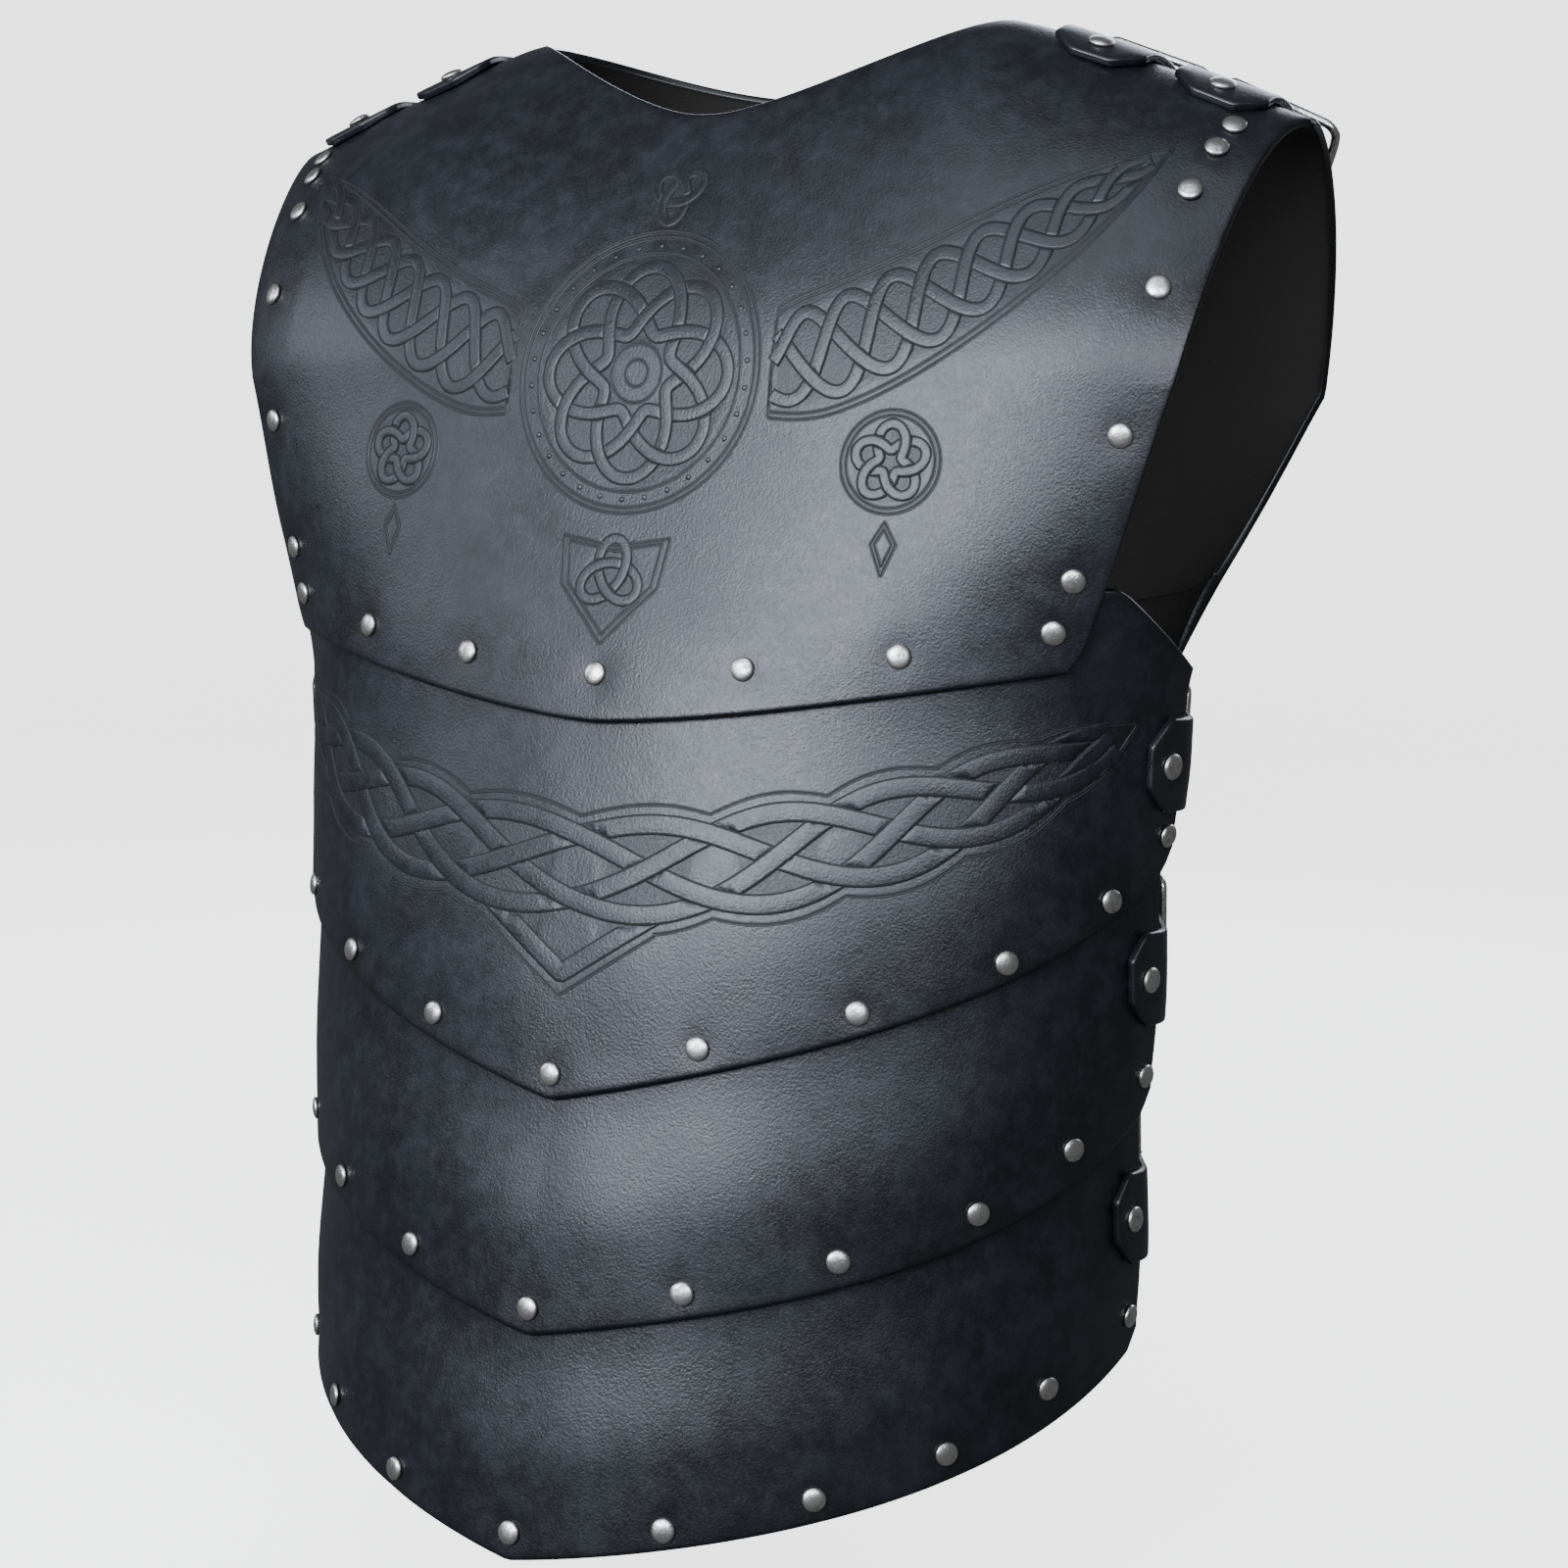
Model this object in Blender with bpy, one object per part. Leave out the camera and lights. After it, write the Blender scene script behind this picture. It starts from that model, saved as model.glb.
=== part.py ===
"""Leather chest armour: four riveted front plates and four back plates.

The chest plate laps over three V-shaped front lames, and a plain yoke laps over
three back lames. Straps riveted to the front plates run over the shoulders and
round the sides to plain buckles on the back plates.

Frame: metres, +Z up. The front faces -Y and the wearer's left side is +X. The
origin is midway between the shoulders, under the inner ends of the shoulder
ridge, where the armour sits on its wearer.
"""
import math
from collections import namedtuple

import bmesh
import bpy
import numpy as np
from mathutils import Matrix, Vector

# ------------------------------------------------------------ driving dimensions
LEATHER = 0.003            # wall of every plate
GAP = 0.0004               # clearance between solids that lie on each other
STRAP_GAP = 0.0010         # a flat strap's clearance over the curved plates
STEP = LEATHER + 0.0007    # how far a plate's lower edge stands off the plate under it
OVERLAP = 0.028            # how far a plate tucks up under the one above

CHEST_LEVEL = -0.128       # height of the widest chest section
WIDEST_Y = -0.010          # depth position of the widest line of every section
RIDGE_LEVEL = -0.003       # height of the shoulder ridge beside the neck
RIDGE_FALL = 0.36          # slope of the ridge towards the arm
RIDGE_BEND = 0.012         # rounding between the level and the sloping ridge
SLICE_FULLNESS = {"front": 0.42, "back": 0.80}   # how round the slices over the ridge are
NECK_HALF = 0.098          # half the neck opening, measured along the ridge
NECK_REACH = {"front": 0.042, "back": 0.060}     # neckline's reach from the ridge
NECK_POWER = {"front": 1.35, "back": 2.0}        # how square its curve is in plan
NECK_ROUND = 0.008         # rounding of the neckline at its lowest point
SHOULDER_END = 0.207       # half the width across the shoulder ends
FLAP_GAP = 0.003           # space along the ridge between the front and back plates

ARMHOLE_LOW = {"front": 0.1575, "back": 0.143}   # half width at the armhole's foot
ARMHOLE_MID = 0.187        # half width of the armhole edge at the chest level
ARMHOLE_FOOT = -0.2195     # height of the foot of the armhole
CORNER_CUT = 0.005         # chamfer on the plates' lower corners
CORNER_SHARE = 0.972       # share of the half width at which the chamfer starts
BELOW_SHARE = 0.38         # share of an upper plate's rows below the chest level
UNDER_ARM_BLEND = 0.0025   # how softly a tucked edge turns into the cut under the arm
FLICK_POWER = 3.5          # how late the front edges turn up towards the side

FRONT_SIDE_ANGLE = (83.0, 88.9)        # side edge of the front lames, top and hem
FRONT_SIDE_LEVEL = (-0.220, -0.459)    # the heights at which those angles hold
BACK_SIDE_ANGLE = 72.0                 # side edge of the back lames
LAPPED = {"front": 0.72, "back": 0.87}       # share of lame 2 that the upper plate laps

STRAP_THICK = 0.003
STRAP_HALF = 0.0160        # half the width of a side strap
SHOULDER_STRAP_HALF = 0.0175
STRAP_TIP = 0.008          # length of the cut tip
TIP_SHARE = 0.45           # width left at the tip, as a share of the full width
SIDE_TAB = 0.019           # side strap's reach onto the front plate
SIDE_TAB_RIVET = 0.0100    # its rivet, from the front plate's side edge
SHOULDER_TAB = 0.018       # shoulder strap's reach in front of the ridge
SHOULDER_TAB_RIVET = 0.009
SHOULDER_DRIFT = 0.17      # how fast the shoulder straps draw in down the back

BUCKLE_FROM_EDGE = 0.040   # buckle's middle, from the back plate's edge
SHOULDER_BUCKLE = 0.056    # buckle's middle, from the ridge
BUCKLE_HALF_LENGTH = 0.013
BUCKLE_WIRE = 0.0016       # half the thickness of the frame
BUCKLE_GAP = 0.0014        # the flat frame's clearance over the curved plates
BUCKLE_SIDE_ROOM = 0.0021  # room between strap edge and the frame's wire axis
CHAPE_THICK = 0.0024
CHAPE_LENGTH = 0.044
STRAP_PAST_BUCKLE = 0.034  # strap's free end, from the buckle's middle

RIVET_RADIUS = 0.0045
RIVET_HEIGHT = 0.0024

Section = namedtuple(
    "Section", "height front_width front_depth back_width back_depth squareness")
# Horizontal sections of the form that the plates wrap, from the chest down.
SECTIONS = (
    Section(-0.128, 0.226, 0.0760, 0.226, 0.118, 2.60),
    Section(-0.193, 0.189, 0.0865, 0.168, 0.116, 2.55),
    Section(-0.218, 0.181, 0.0935, 0.158, 0.114, 2.35),
    Section(-0.338, 0.165, 0.1170, 0.146, 0.102, 2.20),
    Section(-0.458, 0.157, 0.1360, 0.141, 0.100, 2.05),
    Section(-0.578, 0.150, 0.1510, 0.141, 0.104, 2.05),
)

Lame = namedtuple("Lame", "name apex rise flick side droop")
# Lower edges. In front: the apex height, the straight rise to the side and the
# extra upward flick there. Behind: the height at the side and the droop inwards.
LAMES = (
    Lame("lame_2", -0.3710, 0.0685, 0.0165, -0.286, 0.020),
    Lame("lame_3", -0.4495, 0.0560, 0.0225, -0.371, 0.020),
    Lame("lame_4", -0.5250, 0.0520, 0.0150, -0.459, 0.020),
)
CHEST_APEX = -0.2450       # lower point of the chest plate
CHEST_RISE = 0.0410        # rise of its lower edge over a lame's full half width
CHEST_CURVE = 1.45         # how roundly that edge rises: 1 would be a straight V
YOKE_DROOP = 0.020

StrapRow = namedtuple("StrapRow", "name lame level")
SIDE_STRAPS = (
    StrapRow("side_strap_2", 0, -0.252),
    StrapRow("side_strap_3", 1, -0.326),
    StrapRow("side_strap_4", 2, -0.411),
)
SHOULDER_STRAPS = (("shoulder_strap_inner", 0.133), ("shoulder_strap_outer", 0.177))

Finish = namedtuple("Finish", "name colour roughness metallic")
PLATE_LEATHER = Finish("black plate leather", (0.016, 0.017, 0.021), 0.42, 0.0)
STRAP_LEATHER = Finish("black strap leather", (0.010, 0.010, 0.011), 0.36, 0.0)
RIVET_METAL = Finish("antique nickel", (0.40, 0.39, 0.37), 0.32, 1.0)
BUCKLE_METAL = Finish("plain nickel", (0.48, 0.47, 0.45), 0.30, 1.0)


# ------------------------------------------------------------------ small helpers
def smooth(low, high, value):
    """0 below low, 1 above high, and a smooth step between them."""
    share = np.clip((value - low) / (high - low), 0.0, 1.0)
    return share * share * (3.0 - 2.0 * share)


def along_sections(column, height):
    """A column of SECTIONS at any height, on a smooth curve through its rows."""
    rows = sorted(SECTIONS, key=lambda row: row.height)
    knots = np.array([row.height for row in rows])
    values = np.array([getattr(row, column) for row in rows])
    slopes = np.gradient(values, knots)
    height = np.clip(height, knots[0], knots[-1])
    right = np.clip(np.searchsorted(knots, height), 1, len(knots) - 1)
    left = right - 1
    span = knots[right] - knots[left]
    share = (height - knots[left]) / span
    return (values[left] * (1 + 2 * share) * (1 - share) ** 2
            + slopes[left] * span * share * (1 - share) ** 2
            + values[right] * share ** 2 * (3 - 2 * share)
            - slopes[right] * span * share ** 2 * (1 - share))


def section_columns(side, height):
    width = along_sections(f"{side}_width", height)
    depth = along_sections(f"{side}_depth", height)
    return width, depth, along_sections("squareness", height)


def facing(side):
    """-1 in front, where depth runs towards -Y, and +1 behind."""
    return -1.0 if side == "front" else 1.0


def normals_of(function, first, second, delta=1e-4):
    """Unit normals of a surface function, to the left of its first parameter."""
    across = function(first + delta, second) - function(first - delta, second)
    along = function(first, second + delta) - function(first, second - delta)
    normal = np.cross(across, along)
    return normal / np.linalg.norm(normal, axis=-1, keepdims=True)


# --------------------------------------------------------------- the wrapped form
def belly(side, angle, height):
    """Superellipse section: angle in radians from the middle line, height in metres."""
    width, depth, power = section_columns(side, height)
    sine, cosine = np.sin(angle), np.cos(angle)
    x = width * np.sign(sine) * np.abs(sine) ** (2 / power)
    y = WIDEST_Y + facing(side) * depth * np.sign(cosine) * np.abs(cosine) ** (2 / power)
    return np.stack([x, y, height + 0 * x], axis=-1)


def section_y(side, x, height):
    width, depth, power = section_columns(side, height)
    inside = np.clip(1 - (np.abs(x) / width) ** power, 0.0, 1.0)
    return WIDEST_Y + facing(side) * depth * inside ** (1 / power)


def ridge_height(x):
    beyond = np.abs(x) - NECK_HALF
    return RIDGE_LEVEL - RIDGE_FALL / 2 * (beyond + np.hypot(beyond, RIDGE_BEND))


def shoulder(side, x, share):
    """Conic slice from the chest section (share 0) to the shoulder ridge (share 1)."""
    start_y = section_y(side, x, CHEST_LEVEL)
    lean = (start_y - section_y(side, x, CHEST_LEVEL - 0.004)) / 0.004
    lean = facing(side) * np.clip(facing(side) * lean, -0.4, 0.0)
    top = ridge_height(x)
    corner_y = start_y + lean * (top - CHEST_LEVEL)
    fullness = SLICE_FULLNESS[side]
    near, middle, far = (1 - share) ** 2, 2 * share * (1 - share) * fullness, share ** 2
    total = near + middle + far
    y = (near * start_y + middle * corner_y) / total
    z = (near * CHEST_LEVEL + (middle + far) * top) / total
    return np.stack([x + 0 * y, y, z], axis=-1)


def torso(side, x, climb):
    """Upper form: climb below 0 is metres under the chest level, 0 to 1 the shoulder."""
    below = np.minimum(climb, 0.0)
    level = CHEST_LEVEL + below
    low = np.stack([x + 0 * level, section_y(side, x, level), level], axis=-1)
    high = shoulder(side, x, np.maximum(climb, 0.0))
    return np.where((climb > 0)[..., None], high, low)


# ------------------------------------------------------------------ plate outlines
def front_edge(lame, share):
    share = np.abs(share)
    return lame.apex + lame.rise * share + lame.flick * share ** FLICK_POWER


def back_edge(lame, share):
    return lame.side - lame.droop * (1 - share ** 2)


def lower_edge(side, index, share):
    """Height of a lame's lower edge; index -1 is the chest plate or the yoke."""
    if index >= 0:
        return (front_edge if side == "front" else back_edge)(LAMES[index], share)
    if side == "front":
        return CHEST_APEX + CHEST_RISE * np.abs(share) ** CHEST_CURVE
    return ARMHOLE_FOOT - YOKE_DROOP * (1 - share ** 2)


def upper_edge(side, index, share):
    """A lame's tucked top edge, cut down at the side under the arm on the first one."""
    tucked = lower_edge(side, index - 1, share) + OVERLAP
    if index > 0 or side == "back":
        return tucked
    slope = OVERLAP / (1 - LAPPED[side])
    under_arm = FRONT_SIDE_LEVEL[0] + slope * (1 - np.abs(share))
    return -UNDER_ARM_BLEND * np.logaddexp(-tucked / UNDER_ARM_BLEND,
                                          -under_arm / UNDER_ARM_BLEND)


def tuck_depth(side, index, share):
    """How much of a lame's top lies under the plate above."""
    if index > 0 or side == "back":
        return OVERLAP + 0 * share
    return OVERLAP * (1 - 0.9 * smooth(LAPPED[side], 0.93, np.abs(share)))


def side_angle(side, height):
    if side == "back":
        return math.radians(BACK_SIDE_ANGLE) + 0 * height
    high, low = FRONT_SIDE_LEVEL
    first, last = FRONT_SIDE_ANGLE
    return np.radians(first + (last - first) * (height - high) / (low - high))


def stand_off(side, index, share, height):
    """Offset of a lame's inner face: 0 where it is tucked, STEP along its lower edge."""
    top = upper_edge(side, index, share) - tuck_depth(side, index, share)
    foot = lower_edge(side, index, share) + OVERLAP
    return STEP * (1 - smooth(0.0, 1.0, (height - foot) / np.maximum(top - foot, 1e-4)))


def lame_skin(side, index, share, height, lift=0.0):
    """A point lift above a lame's outer face."""
    def form(offset, level):
        return belly(side, offset + share * side_angle(side, height), level)
    normal = -facing(side) * normals_of(form, np.zeros_like(share), height)
    offset = stand_off(side, index, share, height) + LEATHER + lift
    return form(np.zeros_like(share), height) + normal * offset[..., None]


# ------------------------------------------------------------------- mesh building
def link(name, bm, finish):
    bmesh.ops.recalc_face_normals(bm, faces=bm.faces)
    mesh = bpy.data.meshes.new(name)
    bm.to_mesh(mesh)
    bm.free()
    mesh.shade_smooth()
    mesh.set_sharp_from_angle(angle=math.radians(35))
    mesh.materials.append(material_for(finish))
    piece = bpy.data.objects.new(name, mesh)
    bpy.context.scene.collection.objects.link(piece)
    return piece


def material_for(finish):
    material = bpy.data.materials.get(finish.name)
    if material:
        return material
    material = bpy.data.materials.new(finish.name)
    material.use_nodes = True
    shader = material.node_tree.nodes["Principled BSDF"]
    shader.inputs["Base Color"].default_value = (*finish.colour, 1.0)
    shader.inputs["Roughness"].default_value = finish.roughness
    shader.inputs["Metallic"].default_value = finish.metallic
    return material


def wall(name, inner, outer, finish):
    """Closed solid between two grids of points with the same rows and columns."""
    rows, columns = inner.shape[:2]
    bm = bmesh.new()
    low = [[bm.verts.new(inner[r, c]) for c in range(columns)] for r in range(rows)]
    high = [[bm.verts.new(outer[r, c]) for c in range(columns)] for r in range(rows)]
    for r in range(rows - 1):
        for c in range(columns - 1):
            bm.faces.new((high[r][c], high[r][c + 1], high[r + 1][c + 1], high[r + 1][c]))
            bm.faces.new((low[r][c], low[r + 1][c], low[r + 1][c + 1], low[r][c + 1]))
    rim = ([(0, c) for c in range(columns)] + [(r, columns - 1) for r in range(1, rows)]
           + [(rows - 1, c) for c in range(columns - 2, -1, -1)]
           + [(r, 0) for r in range(rows - 2, 0, -1)])
    for (r0, c0), (r1, c1) in zip(rim, rim[1:] + rim[:1]):
        bm.faces.new((low[r0][c0], low[r1][c1], high[r1][c1], high[r0][c0]))
    return link(name, bm, finish)


def cut_corners(grid):
    """Chamfer a parameter grid's two lower corners, between their neighbours."""
    for column, inward in ((0, 1), (-1, -2)):
        grid[0, column] = (grid[0, inward] + grid[1, column]) / 2


def mirrored(half):
    """Shares from -1 to 1 out of the half that runs from 0 to 1."""
    return np.concatenate([-half[:0:-1], half])


# -------------------------------------------------------------------------- plates
def lame(side, index):
    """One belly plate on a grid of shares across and heights up."""
    half = np.append(np.linspace(0.0, CORNER_SHARE, 13), 1.0)
    share = mirrored(half)[None, :]
    foot, top = lower_edge(side, index, share), upper_edge(side, index, share)
    tucked = top - tuck_depth(side, index, share)
    middle = foot + OVERLAP
    rows = [foot, foot + CORNER_CUT, middle]
    rows += [middle + (tucked - middle) * part for part in (0.3, 0.7, 1.0)]
    rows.append(top)
    height = np.concatenate(rows)
    share = np.repeat(share, len(rows), axis=0)
    cut_corners(height)
    cut_corners(share)
    outer = lame_skin(side, index, share, height)
    inner = lame_skin(side, index, share, height, -LEATHER)
    return wall(f"{side}_{LAMES[index].name}", inner, outer, PLATE_LEATHER)


def armhole(side, climb):
    """Half width of the armhole edge at a climb up the upper form."""
    foot = ARMHOLE_FOOT - CHEST_LEVEL
    low = ARMHOLE_MID + (ARMHOLE_MID - ARMHOLE_LOW[side]) * climb / -foot
    high = ARMHOLE_MID + (SHOULDER_END - ARMHOLE_MID) * climb
    return np.where(climb < 0, low, high)


def neck_climb(side, x):
    """Climb at which the neckline crosses the upper form, for one x."""
    reach, power = NECK_REACH[side], NECK_POWER[side]
    across = math.hypot(x, NECK_ROUND) - NECK_ROUND
    inside = np.clip(1 - (across / (NECK_HALF - NECK_ROUND)) ** power, 0.0, 1.0)
    wanted = max(reach * inside ** (1 / power), FLAP_GAP / 2)
    shares = np.linspace(0.3, 1.0, 400)
    depths = facing(side) * shoulder(side, np.full(400, x), shares)[:, 1]
    return np.interp(-wanted, -depths, shares)


def upper_plate(side, name):
    """Chest plate or yoke: columns fan out from the lower edge to the shoulder."""
    neck_share = NECK_HALF / SHOULDER_END
    half = np.concatenate([np.linspace(0, neck_share, 8),
                           np.linspace(neck_share, CORNER_SHARE, 8)[1:], [1.0]])
    share = mirrored(half)
    foot = lower_edge(side, -1, share * LAPPED[side]) - CHEST_LEVEL
    top = np.array([neck_climb(side, value * SHOULDER_END) for value in share])
    steps = np.array([0.0, 0.03, 0.14, 0.22, 0.30, BELOW_SHARE, 0.46, 0.54, 0.62, 0.70, 0.78,
                      0.86, 0.93, 1.0])[:, None]
    # One step runs through metres below the chest level, then through the shoulder.
    below = np.minimum(steps / BELOW_SHARE, 1.0)
    above = np.maximum(steps - BELOW_SHARE, 0.0) / (1 - BELOW_SHARE)
    climb = foot * (1 - below) + top * above
    edge_climb = climb[:, -1:]
    share = np.repeat(share[None, :], len(steps), axis=0)
    x = share * armhole(side, edge_climb)
    cut_corners(climb)
    cut_corners(x)
    normal = -facing(side) * normals_of(lambda a, b: torso(side, a, b), x, climb)
    inner = torso(side, x, climb)
    inner = inner + normal * (STEP * (1 - smooth(0.14, 0.40, steps)))[..., None]
    return wall(name, inner, inner + normal * LEATHER, PLATE_LEATHER)


# ------------------------------------------------------------------ strap tracks
def side_track(hand, row, distance, lateral, lift):
    """Point over the side: distance from the front plate's edge, lateral upwards."""
    height = np.asarray(row.level + lateral, float)

    def edge(side, run):
        angle = side_angle(side, height)
        rate = np.linalg.norm(belly(side, angle, height) - belly(side, angle - 1e-3, height))
        share = 1 - run * 1e-3 / rate / angle
        return lame_skin(side, row.lame, share, height, lift)

    span = side_gap(row)
    if distance <= 0:
        point = edge("front", -distance)
    elif distance >= span:
        point = edge("back", distance - span)
    else:
        share = distance / span
        point = edge("front", 0.0) * (1 - share) + edge("back", 0.0) * share
    return Vector(point * [hand, 1, 1])


def side_gap(row):
    height = np.asarray(row.level, float)
    front = belly("front", side_angle("front", height), height)
    back = belly("back", side_angle("back", height), height)
    return float(np.linalg.norm(front - back))


def shoulder_track(hand, centre, distance, lateral, lift):
    """Point over the shoulder: distance from the ridge, lateral towards the arm."""
    def surface(run, offset):
        x = centre + offset / math.hypot(1.0, RIDGE_FALL) - SHOULDER_DRIFT * max(run, 0.0)
        side = "front" if run < 0 else "back"
        slice_points = shoulder(side, np.full(240, x), np.linspace(1.0, 0.0, 240))
        pace = np.linalg.norm(np.diff(slice_points, axis=0), axis=1)
        length = np.concatenate([[0.0], np.cumsum(pace)])
        return np.array([np.interp(abs(run), length, slice_points[:, axis])
                         for axis in range(3)])
    step = 5e-4
    along = surface(distance + step, lateral) - surface(distance - step, lateral)
    across = surface(distance, lateral + step) - surface(distance, lateral - step)
    normal = np.cross(across, along)
    normal /= np.linalg.norm(normal)
    return Vector((surface(distance, lateral) + normal * (LEATHER + lift)) * [hand, 1, 1])


def track_frame(track, distance, lift):
    """Place, strap direction, outward normal and sideways direction on a track."""
    reach = 0.010
    place = track(distance, 0.0, lift)
    along = track(distance + reach, 0.0, lift) - track(distance - reach, 0.0, lift)
    across = track(distance, reach, lift) - track(distance, -reach, lift)
    along.normalize()
    sideways = (across - along * across.dot(along)).normalized()
    outward = along.cross(sideways)
    if outward.dot(track(distance, 0.0, lift + 0.004) - place) < 0:
        outward.negate()
    return place, along, outward, sideways


def band(name, track, stations, half, thickness, lift_at, tips):
    """Flat strip along a track; tips says which of its ends are cut to a point."""
    widths = [half] * len(stations)
    if tips[0]:
        widths[0] = half * TIP_SHARE
    if tips[1]:
        widths[-1] = half * TIP_SHARE
    inner = np.zeros((len(stations), 3, 3))
    outer = np.zeros_like(inner)
    for row, (distance, width) in enumerate(zip(stations, widths)):
        for column, part in enumerate((-1, 0, 1)):
            lift = lift_at(distance)
            inner[row, column] = track(distance, part * width, lift)
            outer[row, column] = track(distance, part * width, lift + thickness)
    return wall(name, inner, outer, STRAP_LEATHER)


# ----------------------------------------------------------------- straps and metal
def rivet(name, place, outward):
    """Low domed cap, spun about its own axis and set down on the leather."""
    bm = bmesh.new()
    profile = [(RIVET_RADIUS, 0.0), (RIVET_RADIUS, 0.3), (0.86 * RIVET_RADIUS, 0.68),
               (0.5 * RIVET_RADIUS, 0.93)]
    rings = [[bm.verts.new((radius * math.cos(turn), radius * math.sin(turn),
                            level * RIVET_HEIGHT))
              for turn in np.linspace(0, 2 * math.pi, 14, endpoint=False)]
             for radius, level in profile]
    for lower, upper in zip(rings, rings[1:]):
        for k in range(len(lower)):
            n = (k + 1) % len(lower)
            bm.faces.new((lower[k], lower[n], upper[n], upper[k]))
    bm.faces.new(rings[0][::-1])
    crown = bm.verts.new((0, 0, RIVET_HEIGHT))
    for k in range(len(rings[-1])):
        bm.faces.new((rings[-1][k], rings[-1][(k + 1) % len(rings[-1])], crown))
    piece = link(name, bm, RIVET_METAL)
    piece.matrix_world = (Matrix.Translation(place)
                          @ outward.to_track_quat("Z", "Y").to_matrix().to_4x4())
    return piece


def buckle(name, place, along, outward, sideways, strap_reach, rear, front):
    """One-piece frame: low bar under the strap, high bar and tongue over it."""
    reach = strap_reach + BUCKLE_SIDE_ROOM
    length = BUCKLE_HALF_LENGTH
    round_off = 0.004
    path = []
    for sign_a, sign_s, start in ((1, 1, 0), (-1, 1, 90), (-1, -1, 180), (1, -1, 270)):
        for turn in (0, 30, 60, 90):
            angle = math.radians(start + turn)
            a = sign_a * (length - round_off) + round_off * math.cos(angle)
            s = sign_s * (reach - round_off) + round_off * math.sin(angle)
            path.append((a, s))
    bm = bmesh.new()
    rings = []
    for k, (a, s) in enumerate(path):
        before, after = path[k - 1], path[(k + 1) % len(path)]
        tangent = Vector((after[0] - before[0], after[1] - before[1], 0)).normalized()
        cross = Vector((tangent.y, -tangent.x, 0))
        level = rear + (front - rear) * float(smooth(-0.7 * length, 0.7 * length, -a))
        ring = []
        for turn in np.linspace(0, 2 * math.pi, 8, endpoint=False):
            local = (Vector((a, s, level)) + cross * (BUCKLE_WIRE * math.cos(turn))
                     + Vector((0, 0, BUCKLE_WIRE * math.sin(turn))))
            ring.append(bm.verts.new(place + along * local.x + sideways * local.y
                                     + outward * local.z))
        rings.append(ring)
    for k, ring in enumerate(rings):
        other = rings[(k + 1) % len(rings)]
        for n in range(8):
            m = (n + 1) % 8
            bm.faces.new((ring[n], ring[m], other[m], other[n]))
    frame = link(name, bm, BUCKLE_METAL)
    tongue = bmesh.new()
    bmesh.ops.create_cone(tongue, cap_ends=True, segments=8, radius1=0.0014,
                          radius2=0.0012, depth=1.55 * length)
    turn = Matrix((along, sideways, outward)).transposed().to_4x4()
    offset = Matrix.Translation((-0.32 * length, 0, front - 0.0002))
    lie = Matrix.Rotation(math.radians(90), 4, "Y")
    bmesh.ops.transform(tongue, verts=tongue.verts,
                        matrix=Matrix.Translation(place) @ turn @ offset @ lie)
    helper = link(f"{name}_tongue_tool", tongue, BUCKLE_METAL)
    union(frame, helper)
    return frame


def union(piece, helper):
    """Fuse a helper into a piece and delete the helper."""
    join = piece.modifiers.new("fused", "BOOLEAN")
    join.operation = "UNION"
    join.solver = "EXACT"
    join.object = helper
    bpy.context.view_layer.update()
    evaluated = piece.evaluated_get(bpy.context.evaluated_depsgraph_get())
    mesh = bpy.data.meshes.new_from_object(evaluated)
    piece.modifiers.clear()
    piece.data = mesh
    bpy.data.objects.remove(helper, do_unlink=True)


def fastening(name, track, half, tab, tab_rivet, buckle_at, span):
    """A strap with its front rivet, its buckle, the buckle's chape and its rivet."""
    over_chape = STRAP_GAP + CHAPE_THICK + GAP
    place, along, outward, sideways = track_frame(track, buckle_at, 0.0)
    spots = [(buckle_at + a * BUCKLE_HALF_LENGTH, s * half)
             for a in (-1, 1) for s in (-1, 0, 1)]
    corners = [track(*spot, 0.0) - place for spot in spots]
    sag = max(-corner.dot(outward) for corner in corners)
    reach = max(abs((track(*spot, 0.008) - place).dot(sideways)) for spot in spots)
    skew = BUCKLE_HALF_LENGTH - min(corner.dot(along) for corner in corners[3:])
    over_bar = BUCKLE_GAP + 2 * BUCKLE_WIRE + GAP + sag
    ride_up = buckle_at - 0.026

    def strap_lift(distance):
        rise = float(smooth(ride_up, ride_up + 0.020, distance))
        return STRAP_GAP + (over_bar - STRAP_GAP) * rise

    end = buckle_at + STRAP_PAST_BUCKLE
    stations = [-tab, -tab + STRAP_TIP, -tab / 3, 0.0]
    if span:
        stations += [span]
    stations += list(np.arange(max(span, 0.0) + 0.006, end - STRAP_TIP - 0.003, 0.006))
    stations += [end - STRAP_TIP, end]
    band(name, track, stations, half, STRAP_THICK, strap_lift, (True, True))
    front_place, _, front_outward, _ = track_frame(
        track, -tab_rivet, STRAP_GAP + STRAP_THICK + GAP)
    rivet(f"{name}_rivet", front_place, front_outward)

    rear = BUCKLE_GAP + BUCKLE_WIRE
    front = over_bar + STRAP_THICK + 3 * GAP + BUCKLE_WIRE
    buckle(f"{name}_buckle", place, along, outward, sideways, reach, rear, front)

    chape_start = buckle_at + BUCKLE_HALF_LENGTH + BUCKLE_WIRE + 2 * GAP + skew
    chape_end = chape_start + CHAPE_LENGTH
    pieces = list(np.linspace(chape_start, chape_end - STRAP_TIP, 7)) + [chape_end]
    band(f"{name}_chape", track, pieces, half * 0.94, CHAPE_THICK, lambda d: STRAP_GAP,
         (False, True))
    place, _, outward, _ = track_frame(track, chape_end - 0.011, over_chape)
    rivet(f"{name}_chape_rivet", place, outward)


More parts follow.
